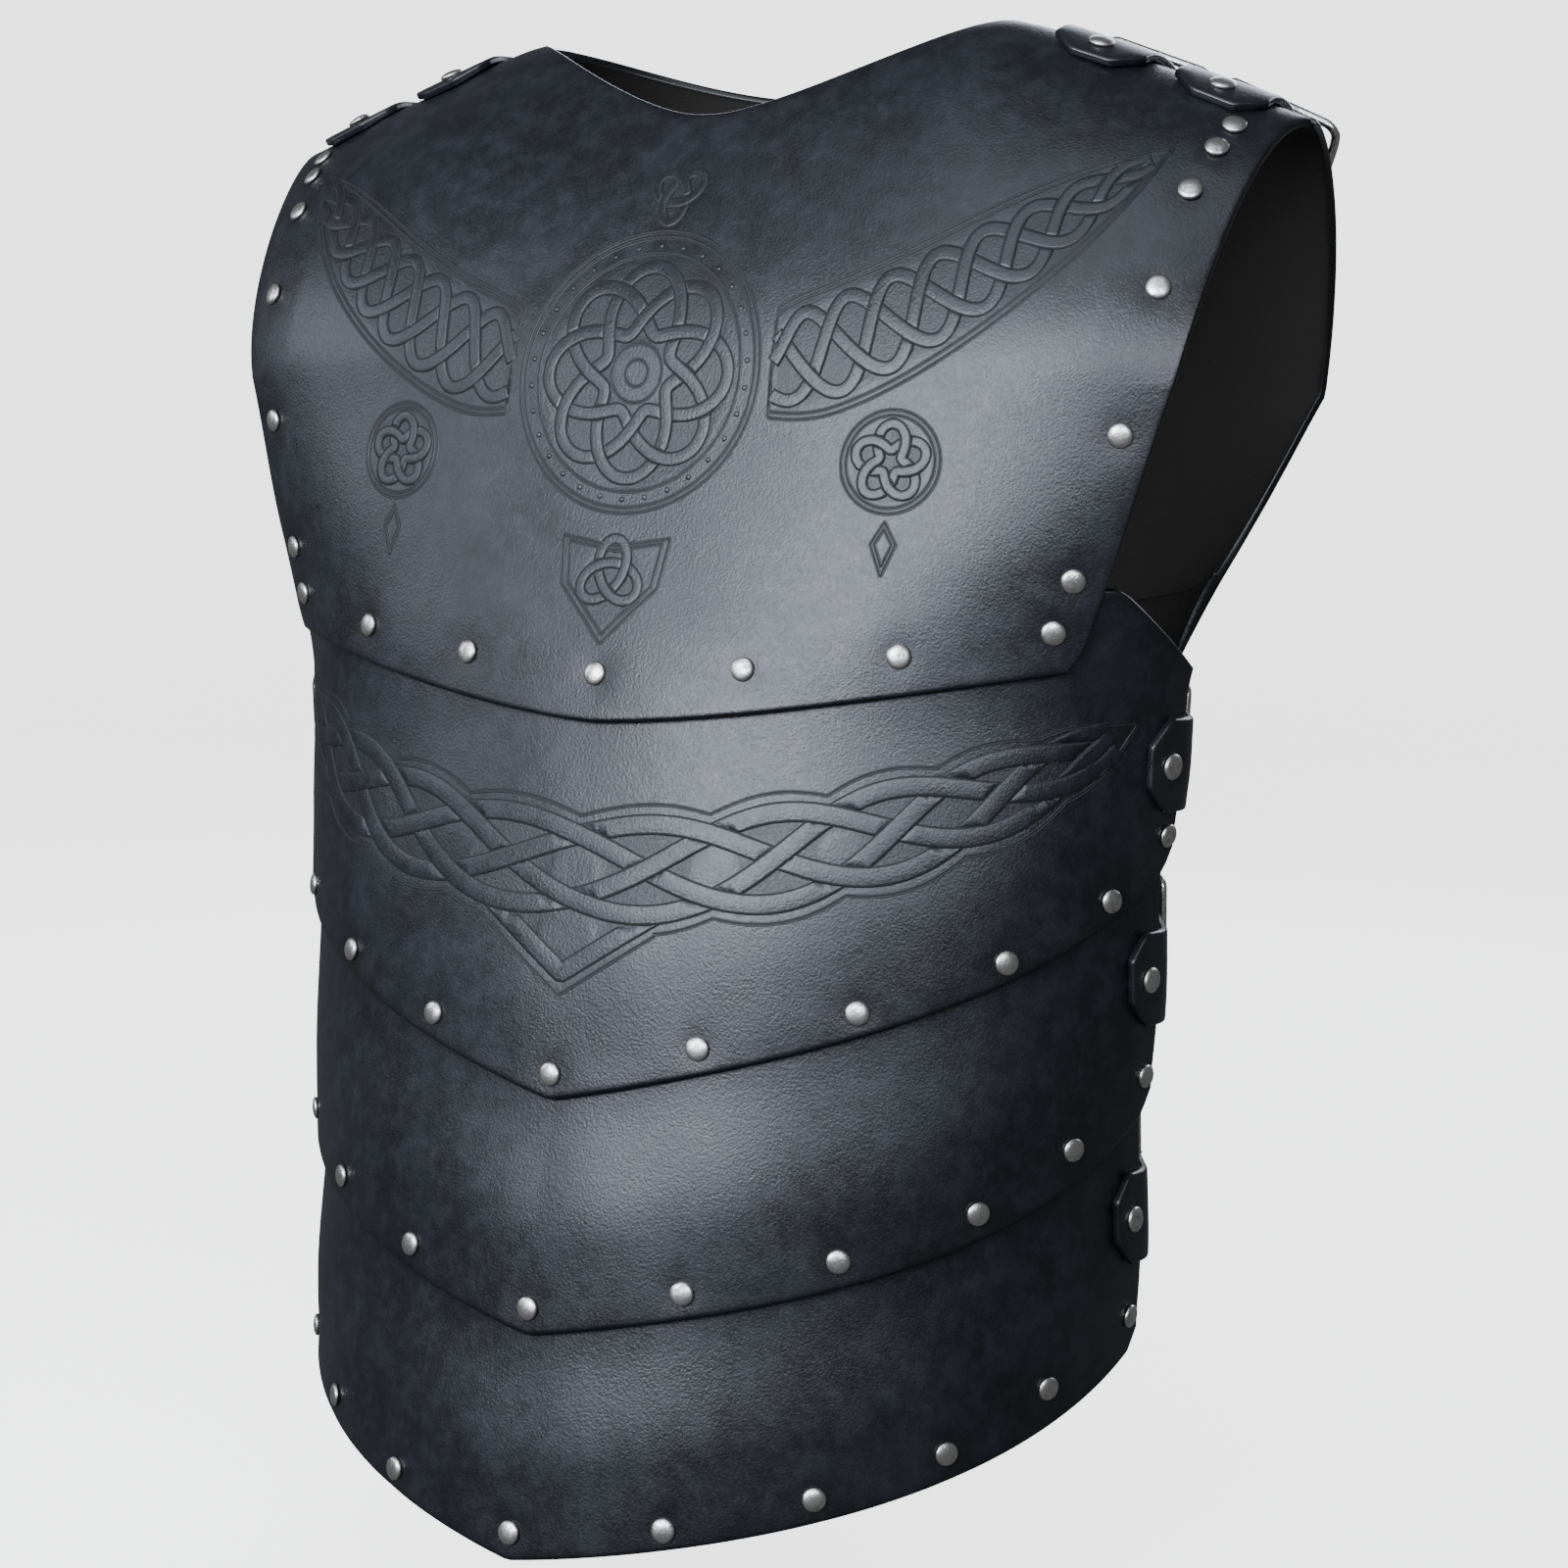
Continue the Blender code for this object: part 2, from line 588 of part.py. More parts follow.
def build():
    for old in list(bpy.data.objects):
        bpy.data.objects.remove(old, do_unlink=True)
    upper_plate("front", "chest_plate")
    upper_plate("back", "back_yoke")
    for side in ("front", "back"):
        for index in range(len(LAMES)):
            lame(side, index)
    for label, hand in (("left", 1), ("right", -1)):
        for name, centre in SHOULDER_STRAPS:
            def over(distance, lateral, lift, hand=hand, centre=centre):
                return shoulder_track(hand, centre, distance, lateral, lift)
            fastening(f"{label}_{name}", over, SHOULDER_STRAP_HALF, SHOULDER_TAB,
                      SHOULDER_TAB_RIVET, SHOULDER_BUCKLE, 0.0)
        for row in SIDE_STRAPS:
            def around(distance, lateral, lift, hand=hand, row=row):
                return side_track(hand, row, distance, lateral, lift)
            span = side_gap(row)
            fastening(f"{label}_{row.name}", around, STRAP_HALF, SIDE_TAB,
                      SIDE_TAB_RIVET, span + BUCKLE_FROM_EDGE, span)


build()
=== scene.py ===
"""Looks of the leather chest armour, built round the fixed frame.

The plates are satin black leather with cut, burnished edges. Interlace tooling
stands in low relief on the chest plate and on the plate below it. Domed caps run
along every border, and buckled straps close the shoulders and the sides.

Metres, +Z up, the front faces -Y and the wearer's left side is +X.
"""
import math
from collections import namedtuple

import bpy
import numpy as np
from bpy.props import (FloatProperty, FloatVectorProperty, IntProperty,
                       PointerProperty)
from mathutils import Matrix, Vector


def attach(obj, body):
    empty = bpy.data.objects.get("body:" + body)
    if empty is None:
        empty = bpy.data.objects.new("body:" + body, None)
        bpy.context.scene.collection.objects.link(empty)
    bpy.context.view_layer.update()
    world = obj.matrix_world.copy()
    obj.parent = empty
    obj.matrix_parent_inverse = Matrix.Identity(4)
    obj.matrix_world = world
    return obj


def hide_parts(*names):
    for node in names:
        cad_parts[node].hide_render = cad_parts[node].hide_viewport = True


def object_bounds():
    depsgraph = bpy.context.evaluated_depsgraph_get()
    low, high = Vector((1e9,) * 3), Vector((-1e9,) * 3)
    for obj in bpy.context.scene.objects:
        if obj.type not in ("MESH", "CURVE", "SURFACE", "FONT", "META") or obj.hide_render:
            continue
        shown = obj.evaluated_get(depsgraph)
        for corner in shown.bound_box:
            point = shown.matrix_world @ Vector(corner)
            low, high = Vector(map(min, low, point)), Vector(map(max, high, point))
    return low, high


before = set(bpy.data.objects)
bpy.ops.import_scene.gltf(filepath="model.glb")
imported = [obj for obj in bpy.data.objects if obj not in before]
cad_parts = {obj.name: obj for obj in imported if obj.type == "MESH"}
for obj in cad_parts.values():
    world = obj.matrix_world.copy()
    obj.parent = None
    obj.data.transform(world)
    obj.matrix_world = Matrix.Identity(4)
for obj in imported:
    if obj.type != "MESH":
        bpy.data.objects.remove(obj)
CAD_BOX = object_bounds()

bl_info = {
    "name": "Leather Chest Armour",
    "version": (1, 0, 0),
    "blender": (4, 5, 0),
    "location": "View3D > Sidebar > Chest Armour",
    "description": "Builds the plates, tooling, rivets, straps and buckles of a chest armour",
    "category": "Object",
}

# ------------------------------------------------------------- dimensions of the frame
LEATHER = 0.003            # thickness of the plates
GAP = 0.0004               # air between neighbouring pieces
STEP = LEATHER + 0.0007    # rise of a lower edge over the plate that it laps
OVERLAP = 0.028            # height by which each plate laps the next
CHEST_LEVEL = -0.128       # sections below this height, shoulder slices above it
WIDEST_Y = -0.010
RIDGE_LEVEL = -0.003       # height of the shoulder ridge beside the neck
RIDGE_FALL = 0.36          # slope of the ridge towards the arm
RIDGE_BEND = 0.012
SLICE_FULLNESS = {"front": 0.42, "back": 0.80}
LEAN_SPAN = 0.004          # height over which a slice's lean is measured
LEAN_LIMIT = 0.4
NECK_HALF = 0.098
NECK_REACH = {"front": 0.042, "back": 0.060}
NECK_POWER = {"front": 1.35, "back": 2.0}
NECK_ROUND = 0.008
SHOULDER_END = 0.207       # half width of the armour along the ridge
FLAP_GAP = 0.003           # air between the front and back flaps at the ridge
ARMHOLE_LOW = {"front": 0.1575, "back": 0.143}
ARMHOLE_MID = 0.187
ARMHOLE_FOOT = -0.2195
CORNER_CUT = 0.005         # height cut off a lame's lower corners
CORNER_CLIMB = 0.03        # the same on the upper plates, in rows from foot to top
CORNER_SHARE = 0.972       # share of the half width where that cut starts
FRONT_SIDE_ANGLE = (83.0, 88.9)
FRONT_SIDE_LEVEL = (-0.220, -0.459)
BACK_SIDE_ANGLE = 72.0
LAPPED = {"front": 0.72, "back": 0.87}
CHEST_APEX = -0.2450
CHEST_RISE = 0.0410
CHEST_CURVE = 1.45
YOKE_DROOP = 0.020
FLICK_POWER = 3.5          # how late a front lame's edge turns up at the side
BLEND = 400                # sharpness of the cut under the arm, per metre
TUCK_SHARE, TUCK_END = 0.9, 0.93
BELOW_SHARE = 0.38         # share of an upper plate's rows under the chest level
ROW_PACE = 0.7
STEP_ROWS = (0.14, 0.40)   # rows over which an upper plate comes down to the form

STRAP_THICK = 0.003
STRAP_HALF = 0.0160
SHOULDER_STRAP_HALF = 0.0175
STRAP_TIP = 0.008
TIP_SHARE = 0.45
SIDE_TAB = 0.019
SIDE_TAB_RIVET = 0.0100
SHOULDER_TAB = 0.018
SHOULDER_TAB_RIVET = 0.009
SHOULDER_DRIFT = 0.17
BUCKLE_FROM_EDGE = 0.040
SHOULDER_BUCKLE = 0.056
BUCKLE_HALF_LENGTH = 0.013
BUCKLE_WIRE = 0.0016
BUCKLE_GAP = 0.0014
BUCKLE_SIDE_ROOM = 0.0021
CHAPE_THICK = 0.0024
CHAPE_LENGTH = 0.044
STRAP_PAST_BUCKLE = 0.034
STRAP_OFF = 0.0003         # air under a strap that lies on a plate
RIDE_UP, RIDE_UP_RUN = 0.026, 0.020
STRAP_ROUND = 0.0010
STRAP_STATION = 0.0022
STRAP_BURNISH = 0.0012
STRAP_ENDS = (0.0, 0.00015, 0.0004, 0.0010, 0.0026, 0.0052, STRAP_TIP)
EASES = (-0.004, -0.002, 0.0, 0.002, 0.004)
CHAPE_SHARE = 0.94         # width of a chape, as a share of its strap's
CHAPE_RIVET = 0.011        # from the chape's free end
BUCKLE_BEND = 0.004
TONGUE_RADIUS, TONGUE_TAPER = 0.00145, 0.0004

Section = namedtuple(
    "Section", "height front_width front_depth back_width back_depth squareness")
SECTIONS = (
    Section(-0.578, 0.150, 0.1510, 0.141, 0.104, 2.05),
    Section(-0.458, 0.157, 0.1360, 0.141, 0.100, 2.05),
    Section(-0.338, 0.165, 0.1170, 0.146, 0.102, 2.20),
    Section(-0.218, 0.181, 0.0935, 0.158, 0.114, 2.35),
    Section(-0.193, 0.189, 0.0865, 0.168, 0.116, 2.55),
    Section(-0.128, 0.226, 0.0760, 0.226, 0.118, 2.60),
)
Lame = namedtuple("Lame", "name apex rise flick side droop")
LAMES = (
    Lame("lame_2", -0.3710, 0.0685, 0.0165, -0.286, 0.020),
    Lame("lame_3", -0.4495, 0.0560, 0.0225, -0.371, 0.020),
    Lame("lame_4", -0.5250, 0.0520, 0.0150, -0.459, 0.020),
)
StrapRow = namedtuple("StrapRow", "name lame level")
SIDE_STRAPS = (
    StrapRow("side_strap_2", 0, -0.252),
    StrapRow("side_strap_3", 1, -0.326),
    StrapRow("side_strap_4", 2, -0.411),
)
SHOULDER_STRAPS = (("shoulder_strap_inner", 0.133), ("shoulder_strap_outer", 0.177))

# Border caps: x and height on the chest plate, then share of the side angle and
# height on each plate below it. Each is set on both sides of the middle line.
CHEST_CAPS = ((0.0, -0.2290), (0.055, -0.2245), (0.106, -0.2175), (0.150, -0.2075),
              (0.156, -0.1905), (0.171, -0.1440), (0.179, -0.0980), (0.1815, -0.0665),
              (0.1850, -0.0525), (0.1872, -0.0450))
LAME_CAPS = (
    ((0.0, -0.3625), (0.194, -0.3485), (0.412, -0.3335), (0.639, -0.3165),
     (0.837, -0.2975), (0.975, -0.2770)),
    ((0.0, -0.4405), (0.215, -0.4285), (0.425, -0.4150), (0.630, -0.4000),
     (0.800, -0.3815), (0.975, -0.3610)),
    ((0.0, -0.5155), (0.219, -0.5065), (0.419, -0.4940), (0.606, -0.4810),
     (0.777, -0.4640), (0.972, -0.4475)),
)
BACK_CAP_SHARES = (0.0, 0.30, 0.60, 0.90)
CAP_FROM_EDGE = 0.009
YOKE_ARMHOLE_CAPS = (-0.045, -0.008, 0.25, 0.58)      # climbs up the armhole's edge

Wave = namedtuple("Wave", "x z y phase size")
WAVES = (Wave(74, 31, 0, 1.3, 1.0), Wave(-43, 88, 9, 0.0, 1.0), Wave(121, 67, 40, 0.4, 0.8))
WAVE_HEIGHT = 0.00009


# ------------------------------------------------------------------- property groups
class LeatherLook(bpy.types.PropertyGroup):
    """Colours and surface of the leather."""
    plate_colour: FloatVectorProperty(
        name="Plate colour", description="Base colour of the plates", subtype="COLOR",
        size=3, min=0, max=1, default=(0.0036, 0.0041, 0.0053))
    plate_bloom: FloatVectorProperty(
        name="Plate bloom", description="Lighter waxy colour clouded over the plates",
        subtype="COLOR", size=3, min=0, max=1, default=(0.0122, 0.0137, 0.0176))
    strap_colour: FloatVectorProperty(
        name="Strap colour", description="Base colour of the straps", subtype="COLOR",
        size=3, min=0, max=1, default=(0.0058, 0.0060, 0.0072))
    flesh_colour: FloatVectorProperty(
        name="Inside colour", description="Colour of the plates' rougher inner side",
        subtype="COLOR", size=3, min=0, max=1, default=(0.050, 0.045, 0.040))
    roughness: FloatProperty(
        name="Roughness", description="Roughness of the satin plate leather",
        min=0.05, max=1, default=0.37, subtype="FACTOR")
    strap_roughness: FloatProperty(
        name="Strap roughness", description="Roughness of the polished strap leather",
        min=0.05, max=1, default=0.36, subtype="FACTOR")
    grain: FloatProperty(
        name="Grain depth", description="Depth of the fine leather grain",
        min=0, max=0.001, default=0.00013, unit="LENGTH", precision=5)


class ToolingSize(bpy.types.PropertyGroup):
    """Sizes of the interlace tooling."""
    strand: FloatProperty(
        name="Strand half width", description="Half width of the band's flat strands",
        min=0.0005, max=0.01, default=0.0029, unit="LENGTH", precision=4)
    fine_strand: FloatProperty(
        name="Chest strand half width", description="Half width of the chest's strands",
        min=0.0005, max=0.01, default=0.0019, unit="LENGTH", precision=4)
    groove: FloatProperty(
        name="Groove width", description="Width of the pressed line beside a strand",
        min=0.0001, max=0.002, default=0.00058, unit="LENGTH", precision=5)
    relief: FloatProperty(
        name="Relief", description="Height of the strands over the plate",
        min=0, max=0.002, default=0.00013, unit="LENGTH", precision=5)
    ground: FloatProperty(
        name="Ground depth", description="Depth of the worked ground between strands",
        min=0, max=0.002, default=0.00034, unit="LENGTH", precision=5)


class HardwareSize(bpy.types.PropertyGroup):
    """Sizes and colours of the caps and buckles."""
    cap_radius: FloatProperty(
        name="Cap radius", description="Radius of a border rivet's cap",
        min=0.001, max=0.01, default=0.0041, unit="LENGTH", precision=4)
    strap_cap_radius: FloatProperty(
        name="Strap cap radius", description="Radius of a strap rivet's cap",
        min=0.001, max=0.01, default=0.0045, unit="LENGTH", precision=4)
    cap_height: FloatProperty(
        name="Cap height", description="Height of a cap's dome",
        min=0.0005, max=0.006, default=0.0017, unit="LENGTH", precision=4)
    nickel: FloatVectorProperty(
        name="Nickel", description="Colour of the worn nickel", subtype="COLOR",
        size=3, min=0, max=1, default=(0.66, 0.63, 0.58))
    patina: FloatVectorProperty(
        name="Patina", description="Colour of the dark marks on the nickel",
        subtype="COLOR", size=3, min=0, max=1, default=(0.10, 0.095, 0.09))


class StageLook(bpy.types.PropertyGroup):
    """Camera, floor and lights."""
    azimuth: FloatProperty(
        name="Camera azimuth", description="Turn of the camera towards the wearer's left",
        subtype="ANGLE", default=math.radians(29.71))
    elevation: FloatProperty(
        name="Camera elevation", description="Height angle of the camera",
        subtype="ANGLE", default=math.radians(6.82))
    roll: FloatProperty(
        name="Camera roll", description="Turn of the camera about its own axis",
        subtype="ANGLE", default=math.radians(1.02))
    distance: FloatProperty(
        name="Camera distance", description="Camera's distance from the point it aims at",
        unit="LENGTH", default=1.10)
    aim: FloatVectorProperty(
        name="Aim", description="Point aimed at, from the middle of the armour",
        unit="LENGTH", size=3, default=(0.0165, 0.0133, -0.0103))
    lens: FloatProperty(
        name="Lens", description="Focal length on a 36 mm sensor, in millimetres",
        min=20, max=200, default=68.73)
    floor_colour: FloatVectorProperty(
        name="Floor colour", description="Pale floor and backdrop", subtype="COLOR",
        size=3, min=0, max=1, default=(0.80, 0.80, 0.80))
    key: FloatProperty(
        name="Key light", description="Power of the wide soft light in front, in watts",
        min=0, max=500, default=26.0)
    upper: FloatProperty(
        name="Upper light", description="Power of the light over the key, in watts",
        min=0, max=500, default=13.0)
    side: FloatProperty(
        name="Side light", description="Power of the light on the wearer's left, in watts",
        min=0, max=500, default=14.5)
    top: FloatProperty(
        name="Top light", description="Power of the light over the shoulders, in watts",
        min=0, max=500, default=6.0)
    edge: FloatProperty(
        name="Edge light", description="Power of the light on the wearer's right, in watts",
        min=0, max=500, default=5.0)
    back: FloatProperty(
        name="Back light", description="Power of the light on the back plates, in watts",
        min=0, max=500, default=24.0)
    sky: FloatProperty(
        name="Sky", description="Strength of the even light from all round",
        min=0, max=5, default=0.14)
    seed: IntProperty(
        name="Seed", description="Start of the small random differences", min=0, default=7)


# --------------------------------------------------------------------- small helpers
def smooth(low, high, value):
    """0 below low, 1 above high, with the cubic 3t^2 - 2t^3 between them."""
    share = np.clip((value - low) / (high - low), 0.0, 1.0)
    return share * share * (3.0 - 2.0 * share)


def unit(vectors):
    """Vectors divided by their own length."""
    return vectors / np.linalg.norm(vectors, axis=-1, keepdims=True)


def along_sections(column, height):
    """A column of SECTIONS at any height: cubic Hermite curves through its rows."""
    knots = np.array([row.height for row in SECTIONS])
    values = np.array([getattr(row, column) for row in SECTIONS])
    slopes = np.gradient(values, knots)
    height = np.clip(height, knots[0], knots[-1])
    right = np.clip(np.searchsorted(knots, height), 1, len(knots) - 1)
    left = right - 1
    span = knots[right] - knots[left]
    share = (height - knots[left]) / span
    return (values[left] * (1 + 2 * share) * (1 - share) ** 2
            + slopes[left] * span * share * (1 - share) ** 2
            + values[right] * share ** 2 * (3 - 2 * share)
            - slopes[right] * span * share ** 2 * (1 - share))


def section(side, height):
    """Half width, depth and squareness of the form at a height."""
    return (along_sections(f"{side}_width", height),
            along_sections(f"{side}_depth", height),
            along_sections("squareness", height))


def facing(side):
    """Sign of y on a side: the front faces -Y."""
    return -1.0 if side == "front" else 1.0


def look_up(table, rows, columns):
    """Bilinear reading of a table at fractional rows and columns."""
    rows = np.clip(rows, 0, table.shape[0] - 1.001)
    columns = np.clip(columns, 0, table.shape[1] - 1.001)
    r, c = rows.astype(int), columns.astype(int)
    a, b = rows - r, columns - c
    return ((table[r, c] * (1 - b) + table[r, c + 1] * b) * (1 - a)
            + (table[r + 1, c] * (1 - b) + table[r + 1, c + 1] * b) * a)


# ------------------------------------------------------------------ the wrapped form
def belly(side, angle, height):
    """Points and outward normals of the superellipse sections below the chest.

    x is the half width times sin(angle)^(2/p) and the depth direction holds the
    depth times cos(angle)^(2/p). The normal is the gradient of
    (x/width)^p + (run/depth)^p over x, y and height.
    """
    width, depth, power = section(side, height)
    sine, cosine = np.sin(angle), np.cos(angle)
    x = width * np.sign(sine) * np.abs(sine) ** (2 / power)
    run = depth * np.abs(cosine) ** (2 / power)

    def level(at):
        w, d, p = section(side, at)
        return np.abs(x / w) ** p + (run / d) ** p
    delta = 2e-4
    gradient = np.stack([
        power / width * np.abs(x / width) ** (power - 1) * np.sign(x),
        facing(side) * power / depth * (run / depth) ** (power - 1),
        (level(height + delta) - level(height - delta)) / (2 * delta)], axis=-1)
    point = np.stack([x, WIDEST_Y + facing(side) * run, height + 0 * x], axis=-1)
    return point, unit(gradient)


def slice_parts(side, x):
    """Foot depth, corner depth and top of the shoulder slice at an x."""
    def depth_at(height):
        width, depth, power = section(side, height)
        inside = np.clip(1 - (np.abs(x) / width) ** power, 0.0, 1.0)
        return WIDEST_Y + facing(side) * depth * inside ** (1 / power)
    foot = depth_at(CHEST_LEVEL)
    lean = (foot - depth_at(CHEST_LEVEL - LEAN_SPAN)) / LEAN_SPAN
    lean = facing(side) * np.clip(facing(side) * lean, -LEAN_LIMIT, 0.0)
    beyond = np.abs(x) - NECK_HALF
    top = RIDGE_LEVEL - RIDGE_FALL / 2 * (beyond + np.hypot(beyond, RIDGE_BEND))
    return foot, foot + lean * (top - CHEST_LEVEL), top


def torso(side, x, climb):
    """Upper form: climb below 0 is metres under the chest level, 0 to 1 the shoulder.

    Above the chest level each slice across is a rational quadratic curve from the
    chest section to the ridge, with the slice fullness as its middle weight.
    """
    below = np.minimum(climb, 0.0)
    width, depth, power = section(side, CHEST_LEVEL + below)
    inside = np.clip(1 - (np.abs(x) / width) ** power, 0.0, 1.0)
    low = np.stack([x + 0 * below, WIDEST_Y + facing(side) * depth * inside ** (1 / power),
                    CHEST_LEVEL + below], axis=-1)
    foot, corner, top = slice_parts(side, x)
    share = np.maximum(climb, 0.0)
    near, far = (1 - share) ** 2, share ** 2
    middle = 2 * share * (1 - share) * SLICE_FULLNESS[side]
    total = near + middle + far
    high = np.stack([x + 0 * share, (near * foot + middle * corner) / total,
                     (near * CHEST_LEVEL + (middle + far) * top) / total], axis=-1)
    return np.where((climb > 0)[..., None], high, low)


def torso_skin(side, x, climb, lift):
    """Points lift above the torso, along normals from central differences."""
    delta = 1e-4
    across = torso(side, x + delta, climb) - torso(side, x - delta, climb)
    along = torso(side, x, climb + delta) - torso(side, x, climb - delta)
    normal = -facing(side) * unit(np.cross(across, along))
    return torso(side, x, climb) + normal * np.asarray(lift)[..., None]


def climb_at(side, x, height):
    """Climb at which a slice reaches a height, from the slice's own quadratic."""
    top = slice_parts(side, x)[2]
    part = np.clip((height - CHEST_LEVEL) / (top - CHEST_LEVEL), 0.0, 0.9995)
    full = SLICE_FULLNESS[side]
    ratio = -full + np.sqrt(full * full + part / (1 - part))
    return np.where(height < CHEST_LEVEL, height - CHEST_LEVEL, ratio / (1 + ratio))


def climb_at_depth(side, x, reach):
    """Climb at which a slice is reach in front of the ridge, or behind it."""
    foot, corner, _ = slice_parts(side, x)
    y, full = facing(side) * reach, SLICE_FULLNESS[side]
    half = full * (y - corner)
    ratio = (-half + facing(side) * np.sqrt(half * half - y * (y - foot))) / y
    return ratio / (1 + ratio)


# -------------------------------------------------------------------- plate outlines
def front_edge(lame, share):
    """Lower edge of a front lame: apex + rise s + flick s^3.5 at a share s."""
    share = np.abs(share)
    return lame.apex + lame.rise * share + lame.flick * share ** FLICK_POWER


def back_edge(lame, share):
    """Lower edge of a back lame: a parabola that droops in the middle."""
    return lame.side - lame.droop * (1 - share ** 2)


def lower_edge(side, index, share):
    """Height of a plate's lower edge; index -1 is the chest plate or the yoke."""
    if index >= 0:
        return (front_edge if side == "front" else back_edge)(LAMES[index], share)
    if side == "front":
        return CHEST_APEX + CHEST_RISE * np.abs(share) ** CHEST_CURVE
    return ARMHOLE_FOOT - YOKE_DROOP * (1 - share ** 2)


def upper_edge(side, index, share):
    """Tucked top edge of a lame; the first one is cut down under the arm."""
    tucked = lower_edge(side, index - 1, share) + OVERLAP
    if index > 0 or side == "back":
        return tucked
    slope = OVERLAP / (1 - LAPPED[side])
    under_arm = FRONT_SIDE_LEVEL[0] + slope * (1 - np.abs(share))
    return -np.logaddexp(-tucked * BLEND, -under_arm * BLEND) / BLEND


def tuck_depth(side, index, share):
    """How far a lame's top is tucked under the plate above it."""
    if index > 0 or side == "back":
        return OVERLAP + 0 * share
    return OVERLAP * (1 - TUCK_SHARE * smooth(LAPPED[side], TUCK_END, np.abs(share)))


def side_angle(side, height):
    """Angle round the form where a lame ends at a height."""
    if side == "back":
        return math.radians(BACK_SIDE_ANGLE) + 0 * height
    high, low = FRONT_SIDE_LEVEL
    first, last = FRONT_SIDE_ANGLE
    return np.radians(first + (last - first) * (height - high) / (low - high))


def lame_skin(side, index, share, height, lift=0.0):
    """Points lift above a lame's outer face, with the normals there.

    The face stands LEATHER off the form where it is tucked and STEP more along
    its lower edge, blended with a smooth step.
    """
    top = upper_edge(side, index, share) - tuck_depth(side, index, share)
    foot = lower_edge(side, index, share) + OVERLAP
    off = STEP * (1 - smooth(0.0, 1.0, (height - foot) / np.maximum(top - foot, 1e-4)))
    point, normal = belly(side, share * side_angle(side, height), height)
    return point + normal * (off + LEATHER + lift)[..., None], normal


def armhole(side, climb):
    """Half width of the armhole edge at a climb."""
    foot = ARMHOLE_FOOT - CHEST_LEVEL
    low = ARMHOLE_MID + (ARMHOLE_MID - ARMHOLE_LOW[side]) * climb / -foot
    high = ARMHOLE_MID + (SHOULDER_END - ARMHOLE_MID) * climb
    return np.where(climb < 0, low, high)


def neck_climb(side, x):
    """Climb of the neckline, a superellipse about the neck in plan."""
    across = np.hypot(x, NECK_ROUND) - NECK_ROUND
    power = NECK_POWER[side]
    inside = np.clip(1 - (across / (NECK_HALF - NECK_ROUND)) ** power, 0.0, 1.0)
    reach = np.maximum(NECK_REACH[side] * inside ** (1 / power), FLAP_GAP / 2)
    return climb_at_depth(side, x, reach)


def upper_lift(side, share, climb):
    """How far an upper plate's outer face stands off the form."""
    foot = lower_edge(side, -1, share * LAPPED[side]) - CHEST_LEVEL
    row = np.where(climb < 0, BELOW_SHARE * (1 - climb / foot),
                   BELOW_SHARE + ROW_PACE * climb)
    return LEATHER + STEP * (1 - smooth(*STEP_ROWS, row))


def waves(points):
    """Slow unevenness of hand-cut leather: three crossing sine waves."""
    x, y, z = points[..., 0], points[..., 1], points[..., 2]
    return WAVE_HEIGHT * sum(
        wave.size * np.sin(wave.x * x + wave.z * z + wave.y * y + wave.phase)
        for wave in WAVES)


def chest_skin(x, height, lift):
    """Points over the chest plate's outer face, from x and height."""
    climb = climb_at("front", x, height)
    share = np.clip(x / armhole("front", climb), -1.0, 1.0)
    off = upper_lift("front", share, climb)
    uneven = waves(torso_skin("front", x, climb, off))
    return torso_skin("front", x, climb, off + uneven + lift)


class ArcTable:
    """Distance round the front sections, from the middle line, both ways.

    The first table adds up short chords along each section, and the second is its
    inverse: the angle at even distances.
    """
    def __init__(self):
        self.levels = np.linspace(-0.56, -0.16, 101)
        self.angles = np.linspace(0.0, math.pi / 2, 901)
        point, _ = belly("front", self.angles[None, :], self.levels[:, None])
        pace = np.linalg.norm(np.diff(point, axis=1), axis=-1)
        self.run = np.concatenate([np.zeros((len(pace), 1)), np.cumsum(pace, 1)], 1)
        self.even = np.linspace(0.0, self.run.min(0)[-1], 401)
        self.turn = np.stack([np.interp(self.even, run, self.angles) for run in self.run])

    def rows(self, height):
        return (height - self.levels[0]) / (self.levels[1] - self.levels[0])

    def arc(self, angle, height):
        found = look_up(self.run, self.rows(height), np.abs(angle) / self.angles[1])
        return np.sign(angle) * found

    def angle(self, arc, height):
        found = look_up(self.turn, self.rows(height), np.abs(arc) / self.even[1])
        return np.sign(arc) * found


ARCS = ArcTable()


def band_skin(arc, height, lift):
    """Points over the second front plate, from the distance round it and height."""
    share = ARCS.angle(arc, height) / side_angle("front", height)
    point, normal = lame_skin("front", 0, share, height)
    return point + normal * (waves(point) + lift)[..., None]


# ------------------------------------------------------------------- border cap places
def mirrored_pairs(table):
    """Each place on both sides of the middle line, and the middle one once."""
    return [(hand * a, b) for a, b in table for hand in ((1,) if a == 0 else (-1, 1))]


def skin_frame(skin, u, v):
    """Place and outward normal of a two-parameter skin."""
    place = skin(np.array(u), np.array(v), np.array(0.0))
    above = skin(np.array(u), np.array(v), np.array(0.001))
    return place, unit(above - place)


def chest_caps():
    """Border caps of the chest plate."""
    return [skin_frame(chest_skin, x, z) for x, z in mirrored_pairs(CHEST_CAPS)]


def lame_caps(side, index):
    """Border caps of a lame, from the table in front and evenly spaced behind."""
    table = (LAME_CAPS[index] if side == "front" else
             [(s, float(back_edge(LAMES[index], s)) + CAP_FROM_EDGE)
              for s in BACK_CAP_SHARES])
    found = []
    for share, height in mirrored_pairs(table):
        found.append(lame_skin(side, index, np.array(share), np.array(height),
                               np.array(0.0)))
    return found


